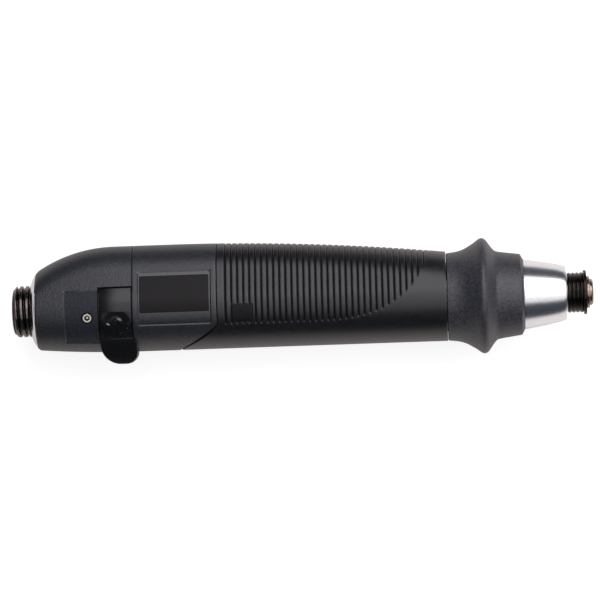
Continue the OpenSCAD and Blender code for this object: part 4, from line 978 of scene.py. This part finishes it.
def makeLever():
    start, end = leverSet["angles"]
    r0, r1 = leverSet["inner"], leverSet["outer"]
    x0, x1 = bandX0 + leverSet["sideEase"], bandX1 - leverSet["sideEase"]
    c = leverSet["corner"]
    outline = [(x0, r0), (x0, r1 - c), (x0 + 0.3 * c, r1 - 0.3 * c), (x0 + c, r1),
               (x1 - c, r1), (x1 - 0.3 * c, r1 - 0.3 * c), (x1, r1 - c), (x1, r0)]
    band = spinOutline("reverseLever", outline, 130, end - start, start)
    cutBy(band, makeTab(), "UNION")
    for cutter in (makeArrowArc(), makeArrowTail(), makeArrowHead()):
        cutBy(band, cutter)
    smoothShade(band, 38)
    place(band, "lever", "black_acetal", "reverse_lever")
    middleX, middleY = arrowSet["centre"]

    def isArrowWall(x, radius, angle):
        aside = max(abs(x - middleX), abs(radius * math.cos(math.radians(angle)) - middleY))
        onWall = within(radius, r1 - arrowSet["deep"] + 0.05, r1 - 0.03)
        return angle < 180 and aside < arrowSet["reach"] and onWall

    dressFaces(band, "polishedAcetal", isArrowWall)


makeLever()
print("stage: reverse lever")

# Inlet bushing with its thread, and the polished end collar
inletSet = {
    "radius": 11.0,
    "pitch": 2.5,
    "depth": 1.05,
    "worn": 0.3,
    "chamfer": 1.5,
    "start": 0.35,
    "portRadius": 5.7,
    "portLength": 10,
    "portPitch": 1.41,
    "portThread": 0.3,
    "screenSeat": 13.8,
    "screenRadius": 4.75,
    "passage": 3.2,
    "stubRadius": 9.95,
    "domeRadius": 16.5,
    "dome": [(-3.2, -5.9), (-2.0, -2.9), (-1.2, -1.45), (-0.65, -0.55), (-0.15, -0.05)],
    "lineRadius": 15.4,
    "collarRadius": 13.4,
    "chamberRadius": 8.0,
    "runout": 0.3,
}


def threadRadius(x, angle):
    phase = (x / inletSet["pitch"] - angle / 360 - inletSet["start"]) % 1
    ramp = abs(phase - 0.5) * 2
    radius = inletSet["radius"] - inletSet["depth"] * (1 - ease((ramp - 0.08) / 0.6))
    entry = inletSet["radius"] - inletSet["chamfer"] + x
    leave = inletSet["radius"] - inletSet["depth"] + max(0, domeX0 - x - inletSet["runout"]) * 2
    return min(radius, entry, leave)


def makeInlet():
    s = inletSet
    rows = [("thread", x) for x in spread(0, domeX0, 100)]
    rows += [("plain", (domeX0, s["stubRadius"])), ("plain", (bushingX1, s["stubRadius"]))]
    rows += [("plain", (bushingX1, s["passage"])), ("plain", (s["screenSeat"], s["passage"]))]
    rows += [("plain", (s["screenSeat"], s["screenRadius"]))]
    rows += [("plain", (s["portLength"], s[radius])) for radius in ("screenRadius", "portRadius")]
    rows += [("bore", x) for x in spread(s["portLength"] - 0.3, 0.9, 60)]
    rows += [("plain", (0.0, s["portRadius"] + 0.5))]

    def putVertex(row, angle):
        kind, value = row
        if kind == "thread":
            return around(value, threadRadius(value, angle), angle)
        if kind == "bore":
            ramp = abs((value / s["portPitch"] - angle / 360) % 1 - 0.5) * 2
            return around(value, s["portRadius"] + 0.02 + s["portThread"] * ramp, angle)
        return around(value[0], value[1], angle)

    inlet = wrapSkin("inletBushing", rows, [k * 2.5 for k in range(144)], putVertex)
    smoothShade(inlet, 30)
    place(inlet, "housing", "black_oxide_steel", "inlet_bushing")
    dressFaces(inlet, "wornOxide", lambda x, radius, angle: radius > s["radius"] - s["worn"])


def makeCollar():
    s = inletSet
    dome = smoothLine([(capX0 + x, s["domeRadius"] + r) for x, r in s["dome"]], 5)
    outline = [(dome[0][0], s["stubRadius"])] + dome
    outline += [(dome[-1][0], s["lineRadius"]), (capX0, s["lineRadius"]), (capX0, s["collarRadius"]),
                (collarX1, s["collarRadius"]), (collarX1, s["chamberRadius"]),
                (bushingX1, s["chamberRadius"]), (bushingX1, s["stubRadius"])]
    collar = spinOutline("endCollar", outline, 160)
    smoothShade(collar, 40)
    place(collar, "housing", "polished_steel", "end_collar")


makeInlet()
makeCollar()
print("stage: inlet and collar")

# Guard, nose and chuck
guardSet = {
    "waist": 18.1,
    "flange": 24.65,
    "tip": 15.4,
    "bore": 14.75,
    "outline": [(0.012, 0.09), (0.115, 0.15), (0.177, 0.22), (0.239, 0.33), (0.301, 0.5), (0.363, 0.69),
                (0.414, 0.88), (0.445, 0.97), (0.471, 1), (0.497, 0.97), (0.528, 0.85), (0.559, 0.64),
                (0.59, 0.42), (0.621, 0.23), (0.652, 0.12), (0.704, 0.06), (0.786, 0)],
    "frontShare": 0.965,
    "portLength": 8.6,
    "portWidth": 8,
}


def makeGuard():
    s = guardSet
    length = guardX1 - guardX0
    rise = s["flange"] - s["waist"]
    front = s["waist"] - (s["waist"] - s["tip"]) * 0.3
    curve = smoothLine([(guardX0 + u * length, s["waist"] + h * rise) for u, h in s["outline"]], 4)
    body = [(x, min(r, s["flange"])) for x, r in curve]
    frontX = guardX0 + s["frontShare"] * length
    outline = [(guardX0, s["bore"]), (guardX0, s["waist"] - 0.1), (guardX0 + 0.1, s["waist"] + 0.3)]
    outline += body
    outline += [(frontX - 0.35, front + 0.07), (frontX, front), (frontX + 0.15, front - 0.2),
                (guardX1 - 0.25, s["tip"] + 0.35), (guardX1, s["tip"] - 0.1), (guardX1, s["bore"])]
    guard = spinOutline("fingerGuard", outline, 168)
    half = s["portWidth"] / 2
    cutBy(guard, boxCutter("port", (nutX1 - s["portLength"], -half, -30), (nutX1, half, 0)))
    smoothShade(guard, 34)
    place(guard, "guard", "guard_nylon", "guard")


noseSet = {
    "gap": 0.1,
    "radius": 14.96,
    "tip": 11.2,
    "inner": 14.7,
    "boreRadius": 12.0,
    "recessDepth": 2.2,
    "recessRadius": 8.95,
    "lip": 1.0,
    "lipRadius": 6.68,
    "bushRadius": 9.5,
    "outline": [(0, 1), (0.33, 0.75), (0.58, 0.54), (0.78, 0.35), (0.92, 0.17), (0.98, 0.06), (1, 0)],
}


def makeNose():
    s = noseSet
    noseX0 = guardX1 + s["gap"]
    curve = smoothLine([(noseX0 + u * (noseX1 - noseX0), s["tip"] + h * (s["radius"] - s["tip"]))
                        for u, h in s["outline"]], 4)
    recessX = noseX1 - s["recessDepth"]
    lipX = recessX - s["lip"]
    outline = [(noseStart, s["boreRadius"]), (noseStart, s["inner"]), (noseX0, s["inner"]),
               (noseX0 + 0.01, s["radius"] - 0.15)]
    outline += [(x + 0.12 * (1 - (x - noseX0) / 20), r) for x, r in curve[:-1]]
    outline += [(noseX1, s["tip"] - 0.15), (noseX1, s["recessRadius"] + 0.25),
                (noseX1 - 0.25, s["recessRadius"]), (recessX, s["recessRadius"]),
                (recessX, s["lipRadius"]), (lipX, s["lipRadius"]), (lipX, s["bushRadius"]),
                (bearingX1, s["bushRadius"]), (bearingX1, s["boreRadius"])]
    nose = spinOutline("clutchHousing", outline, 168)
    half = guardSet["portWidth"] / 2
    cutBy(nose, boxCutter("port", (nutX1 - guardSet["portLength"], 10, -half), (nutX1, 30, half)))
    smoothShade(nose, 30)
    place(nose, "housing", "satin_aluminium", "clutch_housing")


chuckSet = {
    "ridgeRadius": 8.62,
    "groove": 0.5,
    "ridges": 4,
    "ridge": [(0, 1), (0.2, 0.35), (0.36, 0), (0.58, 0), (0.76, 0.35), (0.94, 1)],
    "rimRadius": 9.5,
    "rimLength": 1.2,
    "reliefRadius": 6.5,
    "relief": 1.1,
    "lockRadius": 5.68,
    "lock": 3.7,
    "chamberRadius": 7.3,
    "spindleRadius": 6.35,
    "noseRadius": 5.64,
    "ringRadius": 6.8,
    "ringSeat": 0.34,
    "hexFlats": 6.45,
    "hexDepth": 18,
    "driveFlats": 7.9,
    "stepGap": 2.4,
    "ballAt": 1.8,
    "ballHole": 1.53,
}


def makeSleeve():
    s = chuckSet
    rimX = sleeveX1 - s["rimLength"]
    pitch = (rimX - sleeveX0) / s["ridges"]
    r = s["ridgeRadius"]
    outline = [(sleeveX0, s["reliefRadius"])]
    for k in range(s["ridges"]):
        x = sleeveX0 + k * pitch
        outline += [(x + share * pitch, r - drop * s["groove"]) for share, drop in s["ridge"]]
    lockX0 = sleeveX0 + s["relief"]
    lockX1 = lockX0 + s["lock"]
    outline += [(rimX, r - s["groove"]), (rimX, s["rimRadius"] - 0.15), (rimX + 0.15, s["rimRadius"]),
                (sleeveX1 - 0.2, s["rimRadius"]), (sleeveX1, s["rimRadius"] - 0.2),
                (sleeveX1, s["chamberRadius"]), (lockX1, s["chamberRadius"]), (lockX1, s["lockRadius"]),
                (lockX0, s["lockRadius"]), (lockX0, s["reliefRadius"])]
    sleeve = spinOutline("chuckSleeve", outline, 120)
    smoothShade(sleeve, 42)
    place(sleeve, "sleeve", "black_oxide_steel", "chuck_sleeve")


def makeSpindle():
    s = chuckSet
    lockX = sleeveX0 + s["relief"] - hair
    stepX = shaftX1 + s["stepGap"]
    r = s["noseRadius"]
    seat = r - s["ringSeat"]
    outline = [(stepX, 0.001), (stepX, s["spindleRadius"]), (lockX, s["spindleRadius"]), (lockX, r),
               (ringX0, r), (ringX0, seat), (ringX1, seat), (ringX1, r), (tipX - 1.0, r),
               (tipX - 0.55, r - 0.15), (tipX - 0.2, r - 0.5), (tipX, r - 1.1), (tipX, 0.001)]
    spindle = spinOutline("bitSpindle", outline, 128)
    hexRadius = 1 / math.cos(math.radians(30)) / 2
    cutBy(spindle, axialBar("hex", tipX - s["hexDepth"], tipX + 1, s["hexFlats"] * hexRadius, 6))
    cutBy(spindle, axialBar("drive", driveX0, stepX + 0.5, s["driveFlats"] * hexRadius, 6), "UNION")
    cutBy(spindle, radialBar("ballHole", sleeveX0 + s["ballAt"], 0, 0, 12, s["ballHole"]))
    smoothShade(spindle, 32)
    place(spindle, "spindle", "spindle_steel", "spindle")


def makeRetainingRing():
    s = chuckSet
    r = s["ringRadius"]
    inner = s["noseRadius"] - s["ringSeat"] + 0.01
    outline = [(ringX0, inner), (ringX0, r - 0.15), (ringX0 + 0.15, r), (ringX1 - 0.15, r),
               (ringX1, r - 0.15), (ringX1, inner)]
    ring = spinOutline("retainingRing", outline, 110, 336, 200)
    smoothShade(ring, 40)
    place(ring, "spindle", "spindle_steel", "retaining_ring")


makeGuard()
makeNose()
makeSleeve()
makeSpindle()
makeRetainingRing()
print("stage: guard, nose and chuck")

# Studio: pale floor, one wide soft lamp overhead and two weaker ones that carry its edge on
studioSet = {
    "floorX": 125,
    "floorZ": -24.9,
    "floorSize": 6000,
    "lampHeight": 1.2,
    "lampSpan": (-0.25, 2.6),      # the lamps along the tool, in metres
    "lamps": {                     # their span across it, in metres, and their power
        "keyLamp": ((0.32, 2.0), 39),
        "fillLamp": ((-0.25, 0.32), 7.5),
        "edgeLamp": ((-0.72, -0.25), 4.2),
    },
    "worldLight": 0.15,
    "wallGlow": 0.06,
    "floorGlow": 0.14,
    "floorWhite": 0.79,
    "sweepEdge": (90, 150),        # metal shows the floor dark from here on, behind the tool
    "sweepDark": 0.12,
}


def addLamp(name, across, power):
    along = studioSet["lampSpan"]
    data = bpy.data.lights.new(name, "AREA")
    data.shape = "RECTANGLE"
    data.size, data.size_y = along[1] - along[0], across[1] - across[0]
    data.energy = power
    data.color = hexColour("#fffaff")[:3]
    lamp = bpy.data.objects.new(name, data)
    lamp.location = (sum(along) / 2, sum(across) / 2, studioSet["lampHeight"])
    bpy.context.scene.collection.objects.link(lamp)


# White with a soft shadow to the camera, near white in metal, and matte for the light it throws back
def floorMaterial():
    s = studioSet
    material = bpy.data.materials.new("paleFloor")
    material.use_nodes = True
    tree = material.node_tree
    tree.nodes.clear()
    path = addNode(tree, "ShaderNodeLightPath")
    matte = addNode(tree, "ShaderNodeBsdfDiffuse", {"Color": hexColour("#f1ede8")})
    glow, white, dark = (
        addNode(tree, "ShaderNodeEmission", {"Color": hexColour(colour), "Strength": s[strength]})
        for colour, strength in (("#fff1e6", "floorGlow"), ("#ffffff", "floorWhite"),
                                 ("#d4e4ff", "sweepDark")))
    bright = addNode(tree, "ShaderNodeAddShader", links={0: matte.outputs[0], 1: glow.outputs[0]})
    shade = addNode(tree, "ShaderNodeBsdfDiffuse", {"Color": hexColour("#b4b4b4")})
    seen = addNode(tree, "ShaderNodeAddShader", links={0: shade.outputs[0], 1: white.outputs[0]})
    mirrored = addNode(tree, "ShaderNodeMath", operation="MAXIMUM",
                       links={0: path.outputs["Is Glossy Ray"], 1: path.outputs["Is Transmission Ray"]})
    spot = addNode(tree, "ShaderNodeTexCoord")
    across = addNode(tree, "ShaderNodeSeparateXYZ", links={0: spot.outputs["Object"]})
    near, far = s["sweepEdge"]
    fade = addNode(tree, "ShaderNodeMapRange", {"From Min": near * mm, "From Max": far * mm},
                   {"Value": across.outputs["Y"]})
    sweep = addNode(tree, "ShaderNodeMixShader",
                    links={0: fade.outputs["Result"], 1: bright.outputs[0], 2: dark.outputs[0]})
    thrown = addNode(tree, "ShaderNodeMixShader",
                     links={0: mirrored.outputs[0], 1: matte.outputs[0], 2: sweep.outputs[0]})
    mix = addNode(tree, "ShaderNodeMixShader",
                  links={0: path.outputs["Is Camera Ray"], 1: thrown.outputs[0], 2: seen.outputs[0]})
    addNode(tree, "ShaderNodeOutputMaterial", links={"Surface": mix.outputs[0]})
    return material


def makeWorld():
    s = studioSet
    world = bpy.data.worlds.new("studio")
    world.use_nodes = True
    tree = world.node_tree
    tree.nodes.clear()
    path = addNode(tree, "ShaderNodeLightPath")
    light, wall, white = (
        addNode(tree, "ShaderNodeBackground", {"Color": hexColour(colour), "Strength": strength})
        for colour, strength in (("#f0f4ff", s["worldLight"]), ("#d4e4ff", s["wallGlow"]),
                                 ("#ffffff", 1.0)))
    thrown = addNode(tree, "ShaderNodeMixShader",
                     links={0: path.outputs["Is Glossy Ray"], 1: light.outputs[0], 2: wall.outputs[0]})
    mix = addNode(tree, "ShaderNodeMixShader",
                  links={0: path.outputs["Is Camera Ray"], 1: thrown.outputs[0], 2: white.outputs[0]})
    addNode(tree, "ShaderNodeOutputWorld", links={"Surface": mix.outputs[0]})
    bpy.context.scene.world = world


def makeStudio():
    s = studioSet
    middle = (s["floorX"] * mm, 0, s["floorZ"] * mm)
    bpy.ops.mesh.primitive_plane_add(size=s["floorSize"] * mm, location=middle)
    floor = nameNew("floor")
    floor.data.materials.append(floorMaterial())
    for name, (across, power) in s["lamps"].items():
        addLamp(name, across, power)
    makeWorld()
    bpy.context.scene.view_settings.view_transform = "Standard"


makeStudio()
print("stage: studio")
